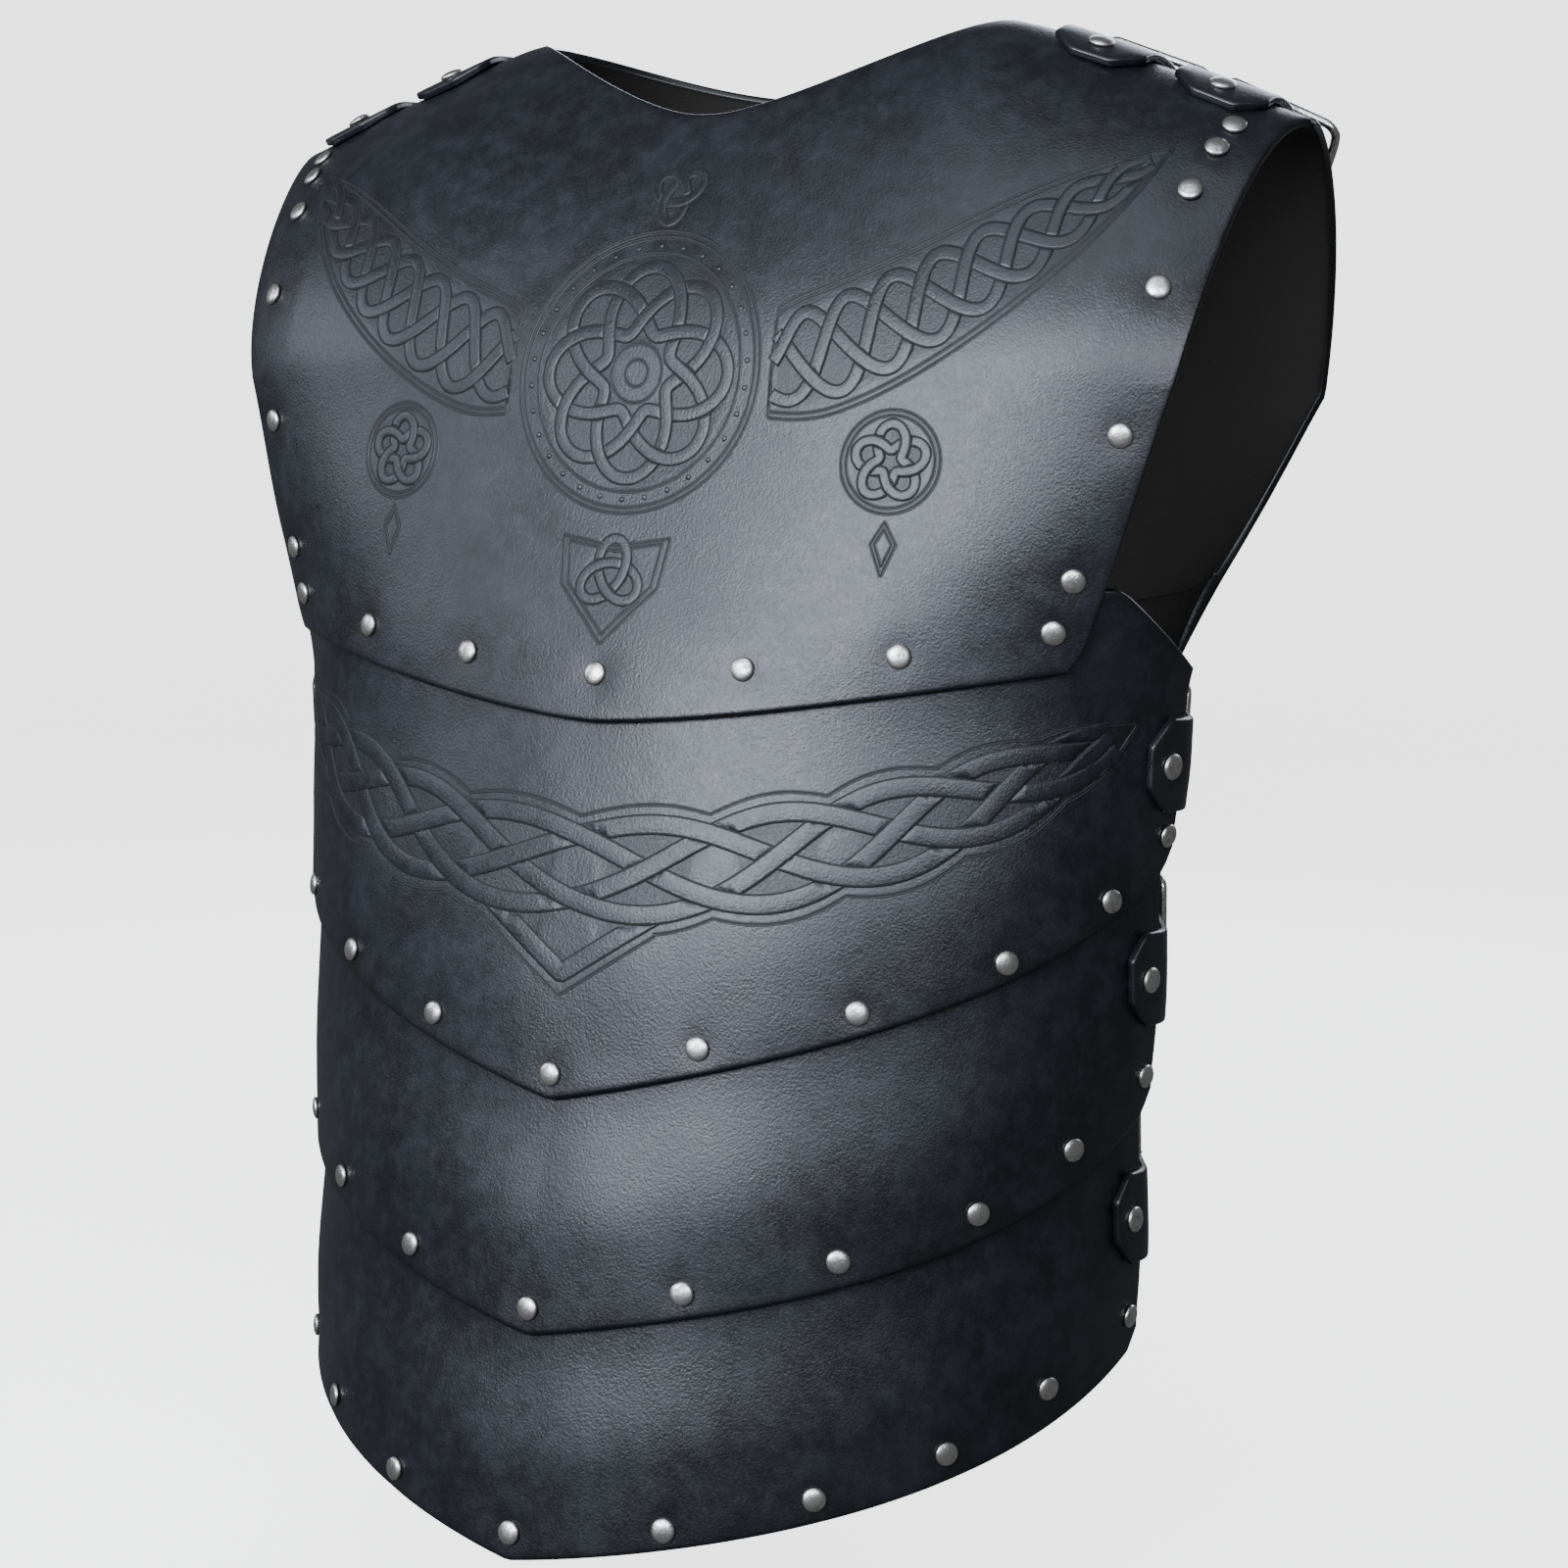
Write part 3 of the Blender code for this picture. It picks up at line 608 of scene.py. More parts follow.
def yoke_skin(x, climb, lift):
    """Points over the yoke's outer face, from x and climb."""
    share = np.clip(x / armhole("back", climb), -1.0, 1.0)
    return torso_skin("back", x, climb, upper_lift("back", share, climb) + lift)


def yoke_caps():
    """Caps along the yoke's lower edge and up its armhole edges."""
    found = []
    for part in BACK_CAP_SHARES:
        height = float(lower_edge("back", -1, part * LAPPED["back"])) + CAP_FROM_EDGE
        climb = height - CHEST_LEVEL
        x = part * float(armhole("back", np.array(climb)))
        found += [skin_frame(yoke_skin, hand * x, climb)
                  for hand in ((1,) if part == 0 else (-1, 1))]
    for climb in YOKE_ARMHOLE_CAPS:
        x = float(armhole("back", np.array(climb))) - CAP_FROM_EDGE
        found += [skin_frame(yoke_skin, hand * x, climb) for hand in (-1, 1)]
    return found


# ---------------------------------------------------------------------- mesh building
def make_object(name, points, faces, attributes=None):
    """A smooth-shaded mesh object out of arrays of points and of equal faces."""
    mesh = bpy.data.meshes.new(name)
    points = np.ascontiguousarray(points.reshape(-1, 3), np.float32)
    loops = np.concatenate([group.reshape(-1) for group in faces]).astype(np.int32)
    sizes = np.concatenate([np.full(len(group), group.shape[1]) for group in faces])
    starts = np.concatenate([[0], np.cumsum(sizes)[:-1]]).astype(np.int32)
    mesh.vertices.add(len(points))
    mesh.vertices.foreach_set("co", points.ravel())
    mesh.loops.add(len(loops))
    mesh.loops.foreach_set("vertex_index", loops)
    mesh.polygons.add(len(sizes))
    mesh.polygons.foreach_set("loop_start", starts)
    mesh.update(calc_edges=True)
    mesh.validate()
    mesh.shade_smooth()
    for key, values in (attributes or {}).items():
        layer = mesh.attributes.new(key, "FLOAT", "POINT")
        layer.data.foreach_set("value", np.asarray(values, np.float32).ravel())
    piece = bpy.data.objects.new(name, mesh)
    bpy.context.scene.collection.objects.link(piece)
    return piece


def finish_piece(piece, material, slot, *nodes):
    """Gives a piece its material and its body, and hides the nodes it stands for; slot is not
    used.
    """
    piece.data.materials.append(material)
    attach(piece, "root")
    if nodes:
        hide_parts(*nodes)
    return piece


def grid_faces(rows, columns, start=0, wrap=False, flip=False):
    """Quads of a grid of points, rows by columns; wrap joins the last column up."""
    r = np.arange(rows - 1)[:, None]
    c = np.arange(columns if wrap else columns - 1)[None, :]
    n = (c + 1) % columns
    quads = np.stack([r * columns + c, r * columns + n, (r + 1) * columns + n,
                      (r + 1) * columns + c], axis=-1).reshape(-1, 4) + start
    return quads[:, ::-1] if flip else quads


def loft_faces(rows, columns, start=0, closed=False):
    """Faces of a tube of rings; an open one has two end points after its rings."""
    c = np.arange(columns)
    n = (c + 1) % columns
    if closed:
        r = np.arange(rows)[:, None]
        u = (r + 1) % rows
        quads = np.stack([r * columns + c, r * columns + n, u * columns + n,
                          u * columns + c], axis=-1).reshape(-1, 4)
        return [quads + start]
    base, last = rows * columns, (rows - 1) * columns
    fans = np.concatenate([np.stack([n, c, 0 * c + base], 1),
                           np.stack([last + c, last + n, 0 * c + base + 1], 1)])
    return [grid_faces(rows, columns, wrap=True) + start, fans + start]


def rim_faces(rows, columns, gap):
    """Quads joining the rims of two equal grids, gap apart in the point list."""
    top = np.arange(columns)
    right = np.arange(1, rows) * columns + columns - 1
    bottom = (rows - 1) * columns + np.arange(columns - 2, -1, -1)
    left = np.arange(rows - 2, 0, -1) * columns
    rim = np.concatenate([top, right, bottom, left])
    after = np.roll(rim, -1)
    return np.stack([rim + gap, after + gap, after, rim], axis=-1)


def outward(points, faces):
    """Faces of a closed mesh, all turned over if its volume comes out negative."""
    quads = faces[0]
    a, b, c = (points.reshape(-1, 3)[quads[:, k]] for k in (0, 1, 2))
    d = points.reshape(-1, 3)[quads[:, -1]]
    volume = (np.einsum("ij,ij->i", a, np.cross(b, c)).sum()
              + np.einsum("ij,ij->i", a, np.cross(c, d)).sum())
    return [group[:, ::-1] for group in faces] if volume < 0 else faces


EDGE_LINES = np.array([0.0, 0.00018, 0.0005, 0.0010, 0.0019, 0.0036, 0.0062])
EDGE_ROUND = 0.0011
INNER_ROUND = 0.0007
BURNISH = 0.0016           # how far the burnished edge reaches in
EVEN_EDGE = 0.012          # the waves fade out this near a rim
DENT_WIDTH, DENT_DEPTH = 0.0068, 0.00044
LAME_RIMS = (0.12, 0.12)
UPPER_SIDE_RIMS = (0.38, 0.38)
UPPER_END_RIMS = (0.30, 0.26)


def with_rims(count, first, last):
    """Shares from 0 to 1 with close lines at both ends, at the given rim scales."""
    low, high = EDGE_LINES / first, 1 - EDGE_LINES[::-1] / last
    middle = np.linspace(low[-1], high[0], count)
    return np.concatenate([low[:-1], middle, high[1:]])


def rim_distance(points):
    """Distance of every grid point from the nearer rim, along rows and columns."""
    def run(axis):
        pace = np.linalg.norm(np.diff(points, axis=axis), axis=-1)
        pad = [(0, 0), (0, 0)]
        pad[axis] = (1, 0)
        length = np.pad(np.cumsum(pace, axis=axis), pad)
        return np.minimum(length, length.take([-1], axis) - length)
    return np.minimum(run(0), run(1))


def rounding(distance, radius):
    """Drop of a quarter-round edge: radius - sqrt(radius^2 - (radius - d)^2)."""
    inside = np.clip(radius - distance, 0.0, radius)
    return radius - np.sqrt(radius * radius - inside * inside)


def plate(name, skin, material, caps, shade):
    """One leather plate: outer and inner faces on the same grid, joined at the rim.

    skin(lift) gives the points lift above the outer face. The outer face sinks
    round each cap as a Gaussian of the distance to it, and in the worked ground.
    """
    flat = skin(0.0)
    rim = rim_distance(flat)
    # seat: a Gaussian ring round each cap; it sinks the outer face, and the material paints a
    # darker ring of shade there
    seat = np.zeros(rim.shape)
    for place in caps:
        near = np.linalg.norm(flat - place, axis=-1)
        seat = np.maximum(seat, np.exp(-(near / DENT_WIDTH) ** 2))
    # The worked-ground mask sinks the ground; its stipple and roughness are real, and the material
    # also paints it a little darker as shade in the recess
    tooled = shade(flat) if shade else np.zeros(rim.shape)
    size = bpy.context.scene.armour_tooling
    away = smooth(0.0, EVEN_EDGE, rim)
    lift = (waves(flat) * away - DENT_DEPTH * seat - size.ground * tooled
            - rounding(rim, EDGE_ROUND))
    outer = skin(lift)
    inner = skin(-LEATHER + rounding(rim, INNER_ROUND))
    rows, columns = rim.shape
    total = rows * columns
    faces = [np.concatenate([grid_faces(rows, columns),
                             grid_faces(rows, columns, total, flip=True),
                             rim_faces(rows, columns, total)])]
    points = np.concatenate([outer.reshape(-1, 3), inner.reshape(-1, 3)])
    edge = np.exp(-rim / BURNISH)
    both = {"edge": np.tile(edge.ravel(), 2),
            "dent": np.append(seat, 0 * seat),
            "tooled": np.append(tooled, 0 * seat),
            "flesh": np.append(0 * seat, 1 - edge)}
    piece = make_object(name, points, outward(points, faces), both)
    return finish_piece(piece, material, "plate", name.replace("leather_", ""))


def lame_plate(side, index, columns, rows, caps, shade=None):
    """A belly plate on columns of equal arc and rows from its foot to its top."""
    middle = (lower_edge(side, index, 0.6) + upper_edge(side, index, 0.6)) / 2
    angles = np.linspace(0.0, float(side_angle(side, middle)), 400)
    point, _ = belly(side, angles, middle)
    run = np.concatenate([[0], np.cumsum(np.linalg.norm(np.diff(point, axis=0), axis=-1))])
    lines = with_rims(columns, 2 * run[-1], 2 * run[-1])
    even, sign = np.abs(2 * lines - 1), np.sign(lines - 0.5)
    share = (sign * np.interp(even * run[-1], run, angles) / angles[-1])[None, :]
    foot, top = lower_edge(side, index, share), upper_edge(side, index, share)
    foot = foot + CORNER_CUT * np.maximum(np.abs(share) - CORNER_SHARE, 0) / (1 - CORNER_SHARE)
    climb = with_rims(rows, *LAME_RIMS)[:, None]
    height = foot + (top - foot) * climb
    share = np.repeat(share, len(climb), axis=0)

    def skin(lift):
        return lame_skin(side, index, share, height, lift + 0 * height)[0]
    return plate(f"leather_{side}_{LAMES[index].name}", skin, leather_material("plate"),
                 caps, shade)


def upper_plate(side, name, columns, rows, caps, shade=None):
    """Chest plate or yoke: columns fan out from the lower edge to the shoulder."""
    share = (2 * with_rims(columns, *UPPER_SIDE_RIMS) - 1)[None, :]
    step = with_rims(rows, *UPPER_END_RIMS)[:, None]
    foot = lower_edge(side, -1, share * LAPPED[side]) - CHEST_LEVEL
    end = lower_edge(side, -1, LAPPED[side]) - CHEST_LEVEL
    top = neck_climb(side, share * SHOULDER_END)
    below = np.minimum(step / BELOW_SHARE, 1.0)
    above = np.maximum(step - BELOW_SHARE, 0.0) / (1 - BELOW_SHARE)
    edge = end * (1 - below) + neck_climb(side, SHOULDER_END) * above
    cut = np.maximum(np.abs(share) - CORNER_SHARE, 0) / (1 - CORNER_SHARE)
    climb = foot * (1 - CORNER_CLIMB / BELOW_SHARE * cut) * (1 - below) + top * above
    x = share * armhole(side, edge)
    share = share + 0 * climb

    def skin(lift):
        return torso_skin(side, x, climb, upper_lift(side, share, climb) + lift)
    return plate(f"leather_{name}", skin, leather_material("plate"), caps, shade)


# ---------------------------------------------------------------------------- tooling
def turks_head(centre, middle, swing, turns, lobes, count=900):
    """Closed rosette: radius = middle + swing cos(lobes/turns a), a round `turns` times."""
    a = np.linspace(0, 2 * math.pi * turns, count, endpoint=False)
    radius = middle + swing * np.cos(lobes * a / turns)
    return np.stack([centre[0] + radius * np.sin(a), centre[1] + radius * np.cos(a)], 1)


def trefoil(centre, size, turn=0.0, count=260):
    """Closed three-lobed knot: (sin t + 2 sin 2t, cos t - 2 cos 2t) times size."""
    t = np.linspace(0, 2 * math.pi, count, endpoint=False)
    u, v = np.sin(t) + 2 * np.sin(2 * t), np.cos(t) - 2 * np.cos(2 * t)
    cosine, sine = math.cos(turn), math.sin(turn)
    return np.stack([centre[0] + size * (u * cosine - v * sine),
                     centre[1] + size * (u * sine + v * cosine)], 1)


def ring(centre, radius, count=240):
    """Circle about a centre."""
    a = np.linspace(0, 2 * math.pi, count, endpoint=False)
    return np.stack([centre[0] + radius * np.sin(a), centre[1] + radius * np.cos(a)], 1)


def beside(path, offset):
    """A path moved sideways: each point plus its left-hand normal times the offset."""
    tangent = unit(np.gradient(path, axis=0))
    normal = np.stack([-tangent[:, 1], tangent[:, 0]], 1)
    return path + normal * np.asarray(offset)[..., None]


def plait(centre_line, reach, phase, strands):
    """Strands that swing about a line: offset = reach sin(phase + k turn / strands)."""
    return [beside(centre_line, reach * np.sin(phase + 2 * math.pi * k / strands))
            for k in range(strands)]


PARALLEL = 1e-12           # cross products under this count as parallel
SAME_SPOT = 0.004          # a strand doesn't cross itself nearer than this


def find_crossings(paths, closed):
    """Where the paths cross: strand pairs, distances along both, and the points.

    Every segment is tested against every other with the two-line equation.
    """
    start, end, strand, along = [], [], [], []
    for k, (path, loop) in enumerate(zip(paths, closed)):
        after = np.roll(path, -1, axis=0) if loop else path[1:]
        before = path if loop else path[:-1]
        start.append(before)
        end.append(after)
        strand.append(np.full(len(before), k))
        pace = np.linalg.norm(after - before, axis=1)
        along.append(np.cumsum(pace) - pace)
    start, end = np.concatenate(start), np.concatenate(end)
    strand, along = np.concatenate(strand), np.concatenate(along)
    step = end - start
    first, second = np.triu_indices(len(start), 2)
    gap = start[second] - start[first]
    cross = step[first, 0] * step[second, 1] - step[first, 1] * step[second, 0]
    safe = np.where(np.abs(cross) < PARALLEL, 1.0, cross)
    s = (gap[:, 0] * step[second, 1] - gap[:, 1] * step[second, 0]) / safe
    t = (gap[:, 0] * step[first, 1] - gap[:, 1] * step[first, 0]) / safe
    hit = (np.abs(cross) >= PARALLEL) & (s >= 0) & (s < 1) & (t >= 0) & (t < 1)
    lengths = np.array([np.linalg.norm(np.diff(np.vstack([p, p[:1]]), axis=0), axis=1).sum()
                        for p in paths])
    found = []
    for f, g, a in zip(first[hit], second[hit], s[hit]):
        place = start[f] + a * step[f]
        near = abs(along[f] - along[g])
        if strand[f] == strand[g] and min(near, lengths[strand[f]] - near) < SAME_SPOT:
            continue
        found.append((strand[f], along[f], unit(step[f]), strand[g], along[g],
                      unit(step[g]), place))
    return found


def over_and_under(found, count):
    """Alternates over and under along every strand; returns what passes over each.

    A visit's rank along its strand gives its parity, and each strand's start is
    chosen so that the two visits of a crossing differ.
    """
    visits = [[] for _ in range(count)]
    for c, (i, s, _, j, t, _, _) in enumerate(found):
        visits[i].append((s, c, 0))
        visits[j].append((t, c, 1))
    parity = {}
    for k in range(count):
        for rank, (_, c, which) in enumerate(sorted(visits[k])):
            parity[c, which] = rank % 2
    start = {}
    for seed in range(count):
        if seed in start:
            continue
        start[seed], queue = 0, [seed]
        while queue:
            k = queue.pop()
            for _, c, which in visits[k]:
                other = found[c][3 if which == 0 else 0]
                wanted = (parity[c, which] + start[k] + 1 + parity[c, 1 - which]) % 2
                if other not in start:
                    start[other] = wanted
                    queue.append(other)
    unders = [[] for _ in range(count)]
    for c, (i, s, way_i, j, t, way_j, place) in enumerate(found):
        if (parity[c, 0] + start[i]) % 2:
            unders[i].append((s, place, way_j, j))
        else:
            unders[j].append((t, place, way_i, i))
    return unders


SUNK = -0.0011             # where a strand dips to pass under another
BURIED = -0.0016           # under face of every strand, inside the leather
WALL = 2e-5                # thickness of the upright wall, and the line's start beside
                           # the strand
LINE_LEAN, LINE_FOOT = 0.10, 5e-5
EDGE_ROLL = 3.2e-4         # how far in a strand's edge starts to turn down
BURR, LINE_FLOOR = 1.5e-4, 1e-5
EDGE_HEIGHTS = (0.70, 0.94)
RAMP_EARLY, RAMP_MORE = 8e-4, 9e-4
NEAR_TIMES, NEAR_MORE = 3.5, 0.003


def strand_section(half, groove, relief):
    """Half a strand's section: places from its middle, heights, and groove marks, where the
    material paints shade in the pressed line.

    The top is nearly flat and its edge turns down to a narrow pressed line, whose
    far side rises to a low burr with an upright wall.
    """
    places = np.stack([half + groove, half + groove - WALL, half + WALL,
                       half - LINE_LEAN * groove - LINE_FOOT, half - EDGE_ROLL], -1)
    heights = np.array([SUNK, BURR, LINE_FLOOR, *(share * relief for share in EDGE_HEIGHTS)])
    return places, heights, np.array([1.0, 1.0, 1.0, 0.0, 0.0])


LINE_PLACES = np.array([7.8e-4, 7.6e-4, 5.4e-4, 3.2e-4, 1.6e-4])
LINE_HEIGHTS = np.array([-3e-4, 1e-5, 1.7e-4, 4e-5, 1e-5])
# LINE_MARKS: where the line's channel is painted dark as shade
LINE_MARKS = np.array([0.0, 0.0, 0.0, 1.0, 1.0])
LINE_MIDDLE = 2e-5
CELL, CELLS, CELLS_FROM = 0.001, (480, 400), (-0.24, -0.40)
BLUR = 3.0                 # in cells
FILLED = 0.0125            # blurred marks over this are worked ground
GROUND_EDGE = (0.92, 0.97)


def blur(cells, spread):
    """Gaussian blur of a table by the product of Fourier transforms."""
    u, v = (np.fft.fftfreq(count) for count in cells.shape)
    kernel = np.exp(-2 * (math.pi * spread) ** 2 * (u[:, None] ** 2 + v[None] ** 2))
    return np.fft.ifft2(np.fft.fft2(cells) * kernel).real


class Tooling:
    """Collects the raised strands and pressed lines of one plate, as one piece."""

    def __init__(self, skin):
        self.skin, self.size = skin, bpy.context.scene.armour_tooling
        self.points, self.quads, self.fans, self.marks = [], [], [], []
        self.total, self.middles = 0, []

    def weave(self, paths, closed, halves, tucked=0):
        """Passes strands over and under each other; the tucked last ones go under all."""
        core = len(paths) - tucked
        found = find_crossings([path[::2] for path in paths], closed)
        unders = over_and_under([c for c in found if max(c[0], c[3]) < core], len(paths))
        for i, s, way_i, j, t, way_j, place in found:
            if i < core <= j:
                unders[j].append((t, place, way_i, i))
            elif j < core <= i:
                unders[i].append((s, place, way_j, j))
        for path, loop, half, under in zip(paths, closed, halves, unders):
            self.strand(path, loop, half,
                        [(s, place, way, np.mean(halves[k])) for s, place, way, k in under])

    def strand(self, path, loop, half, unders=()):
        """One flat strand, sunk where it passes under another.

        The sinking is a straight ramp of the distance from the line of the strand
        above. It comes out at that strand's pressed line, parallel to its edge.
        """
        half = np.broadcast_to(half, len(path))
        places, heights, marks = strand_section(half, self.size.groove, self.size.relief)
        pace = np.linalg.norm(np.diff(path, axis=0), axis=1)
        along = np.concatenate([[0], np.cumsum(pace)])
        length = along[-1] + (np.linalg.norm(path[0] - path[-1]) if loop else 0)
        chart = self.chart(path, loop, places)
        keep = np.ones(chart.shape[:2])
        for s, place, way, other in unders:
            near = np.abs(along - s)
            near = np.minimum(near, length - near) if loop else near
            gap = chart - place
            off = np.abs(gap[..., 0] * way[1] - gap[..., 1] * way[0])
            edge = other + self.size.groove
            cut = np.clip((off - other + RAMP_EARLY) / (self.size.groove + RAMP_MORE),
                          0.0, 1.0)
            keep = np.where(near[:, None] < NEAR_TIMES * edge + NEAR_MORE,
                            np.minimum(keep, cut), keep)
        lift = np.concatenate([heights, [self.size.relief], heights[::-1]])
        lift = lift[None] * keep + SUNK * (1 - keep)
        self.add(chart, lift, np.concatenate([marks, [0.0], marks[::-1]]), loop)
        self.middles.append(path)

    def line(self, path, loop=False):
        """A pressed line: a narrow channel between two low burrs, painted dark as shade."""
        chart = self.chart(path, loop, np.broadcast_to(LINE_PLACES, (len(path), 5)))
        lift = np.concatenate([LINE_HEIGHTS, [LINE_MIDDLE], LINE_HEIGHTS[::-1]])
        marks = np.concatenate([LINE_MARKS, [1.0], LINE_MARKS[::-1]])
        self.add(chart, np.broadcast_to(lift, chart.shape[:2]), marks, loop)

    @staticmethod
    def chart(path, loop, places):
        """Places either side of a path, in its plate's own two coordinates."""
        if loop:
            tangent = unit(np.roll(path, -1, axis=0) - np.roll(path, 1, axis=0))
        else:
            tangent = unit(np.gradient(path, axis=0))
        normal = np.stack([-tangent[:, 1], tangent[:, 0]], 1)
        across = np.concatenate([-places, 0 * places[:, :1], places[:, ::-1]], 1)
        return path[:, None] + normal[:, None] * across[..., None]

    def add(self, chart, lift, marks, loop):
        """Closes a strand's section with a buried under face and keeps its faces."""
        if not loop:
            ends = np.arange(len(lift)) % (len(lift) - 1) == 0
            lift = np.where(ends[:, None], np.minimum(lift, SUNK), lift)
        chart = np.concatenate([chart, chart[:, -2:-1], chart[:, 1:2]], 1)
        lift = np.concatenate([lift, np.full((len(lift), 2), BURIED)], 1)
        marks = np.broadcast_to(np.concatenate([marks, [0.0, 0.0]]), lift.shape).ravel()
        points = self.skin(chart[..., 0], chart[..., 1], lift)
        faces = loft_faces(*lift.shape, self.total, loop)
        self.quads.append(faces[0])
        self.points.append(points.reshape(-1, 3))
        self.marks.append(marks)
        self.total += lift.size
        if not loop:
            self.fans.append(faces[1])
            self.points.append(points[[0, -1]].mean(axis=1))
            self.marks.append(np.zeros(2))
            self.total += 2

    def ground(self, chart_of):
        """Worked ground as a function of 3-D points.

        Strand middles are marked on 1 mm cells. They are spread out far enough to
        close the gaps between strands, then drawn back under the outer strands.
        """
        low, cells = np.array(CELLS_FROM), np.zeros(CELLS)
        index = ((np.concatenate(self.middles) - low) / CELL).astype(int)
        cells[index[:, 0], index[:, 1]] = 1.0
        spread = (blur(cells, BLUR) > FILLED).astype(float)
        field = smooth(*GROUND_EDGE, blur(spread, BLUR))

        def read(points):
            u, v = chart_of(points)
            return look_up(field, (u - low[0]) / CELL - 0.5, (v - low[1]) / CELL - 0.5)
        return read

    def piece(self, name):
        """The collected strands and lines as one object."""
        points = np.concatenate(self.points)
        faces = [np.concatenate(self.quads)]
        if self.fans:
            faces.append(np.concatenate(self.fans))
        piece = make_object(name, points, outward(points, faces),
                            {"groove": np.concatenate(self.marks)})
        return finish_piece(piece, leather_material("plate"), "plate")


def resample(path, step, closed=False):
    """Points at even distances along a path."""
    if closed:
        path = np.vstack([path, path[:1]])
    run = np.concatenate([[0], np.cumsum(np.linalg.norm(np.diff(path, axis=0), axis=1))])
    count = max(int(run[-1] / step), 8)
    at = np.linspace(0, run[-1], count, endpoint=not closed)
    return np.stack([np.interp(at, run, path[:, k]) for k in (0, 1)], 1)


STRAND_STEP = 0.00060
LINE_STEP, FINE_LINE_STEP = 0.0010, 0.0006

# Chest tooling: x and height on the plate, then sizes about each place.
Rosette = namedtuple("Rosette", "middle swing turns lobes")
HUB, HUB_KNOT = (0.0, -0.1265), Rosette(0.0248, 0.0112, 3, 8)
HUB_RINGS = (0.0480, 0.0460, 0.0405, 0.0100, 0.0045)
BEAD_RING, BEADS = 0.0432, 30
BEAD_RADIUS, BEAD_HEIGHT = 0.00095, 0.00045
Garland = namedtuple("Garland", "x run height rise bend reach turns hurry end")
GARLAND = Garland(0.0525, 0.120, -0.1230, 0.070, 1.5, 0.0150, 2.2, 0.28, 0.965)
GARLAND_ROOMS = (0.0042, 0.0063)
DROP, DROP_KNOT = (0.0985, -0.1545), Rosette(0.0082, 0.0043, 2, 5)
DROP_RINGS, DROP_STRAND = (0.0152, 0.0170), 0.70
LEAF = ((0, 0.0075), (0.0042, 0), (0, -0.0105), (-0.0042, 0))
LEAF_BELOW, LEAF_SCALES, LEAF_STEP = 0.0272, (0.7, 1.0), 0.0005
PENDANT, PENDANT_KNOT, PENDANT_STRAND = (0.0, -0.1960), 0.0042, 0.75
SHIELD = ((-0.0185, 0.0115), (0, 0.0085), (0.0185, 0.0115),
          (0.0165, -0.0035), (0.0, -0.0200), (-0.0165, -0.0035))
SHIELD_SCALES = (1.0, 1.16)
CROWN, CROWN_KNOT, CROWN_STRAND = (0.0, -0.0650), 0.0034, 0.66

# Band tooling: distance round the plate and height.
Band = namedtuple("Band", "tip height rise reach turns hurry end")
BAND = Band(0.188, -0.2930, 0.0555, 0.0150, 0.80, 0.45, 0.955)
BAND_EDGE_ROOM, BAND_EDGE_BREAK = 0.0036, 0.0300
VEE = ((-0.0345, -0.3055), (0.0, -0.3287), (0.0345, -0.3055))
VEE_LINE = ((-0.0345, -0.3128), (0.0, -0.3362), (0.0345, -0.3128))


def chest_tooling():
    """Roundel with plaited garlands rising to the shoulders, over a pointed pendant."""
    work = Tooling(chest_skin)
    half = work.size.fine_strand

    def knot(path, width):
        work.weave([resample(path, STRAND_STEP, True)], [True], [width])

    def loop(path, step):
        work.line(resample(path, step, True), True)

    for radius in HUB_RINGS:
        loop(ring(HUB, radius), LINE_STEP)
    knot(turks_head(HUB, *HUB_KNOT), half)
    for hand in (-1, 1):
        t = np.linspace(0, 1, 500)
        middle = np.stack([GARLAND.x + GARLAND.run * t,
                           GARLAND.height + GARLAND.rise * t ** GARLAND.bend], 1)
        reach = GARLAND.reach * (1 - t ** 2.6) ** 0.85 * smooth(-0.35, 0.16, t)
        thin = half * (1 - 0.45 * t ** 5)
        phase = 2 * math.pi * GARLAND.turns * (t + GARLAND.hurry * t * t)
        paths = [resample(path[t < GARLAND.end] * [hand, 1], STRAND_STEP)
                 for path in plait(middle, reach, phase, 3)]
        work.weave(paths, [False] * 3,
                   [np.interp(np.linspace(0, GARLAND.end, len(p)), t, thin) for p in paths])
        for room in GARLAND_ROOMS:
            out = (reach + room) * (1 - t ** 12)
            edge = np.vstack([beside(middle, out), beside(middle, -out)[::-1]])
            loop(edge * [hand, 1], LINE_STEP)
        drop = (hand * DROP[0], DROP[1])
        knot(turks_head(drop, *DROP_KNOT), half * DROP_STRAND)
        for radius in DROP_RINGS:
            loop(ring(drop, radius), LINE_STEP * 0.7)
        for scale in LEAF_SCALES:
            loop(np.array(LEAF) * scale + drop - [0, LEAF_BELOW], LEAF_STEP)
    knot(trefoil(PENDANT, PENDANT_KNOT, math.pi), half * PENDANT_STRAND)
    for scale in SHIELD_SCALES:
        loop(np.array(SHIELD) * scale + PENDANT, FINE_LINE_STEP)
    knot(trefoil(CROWN, CROWN_KNOT), half * CROWN_STRAND)
    return work


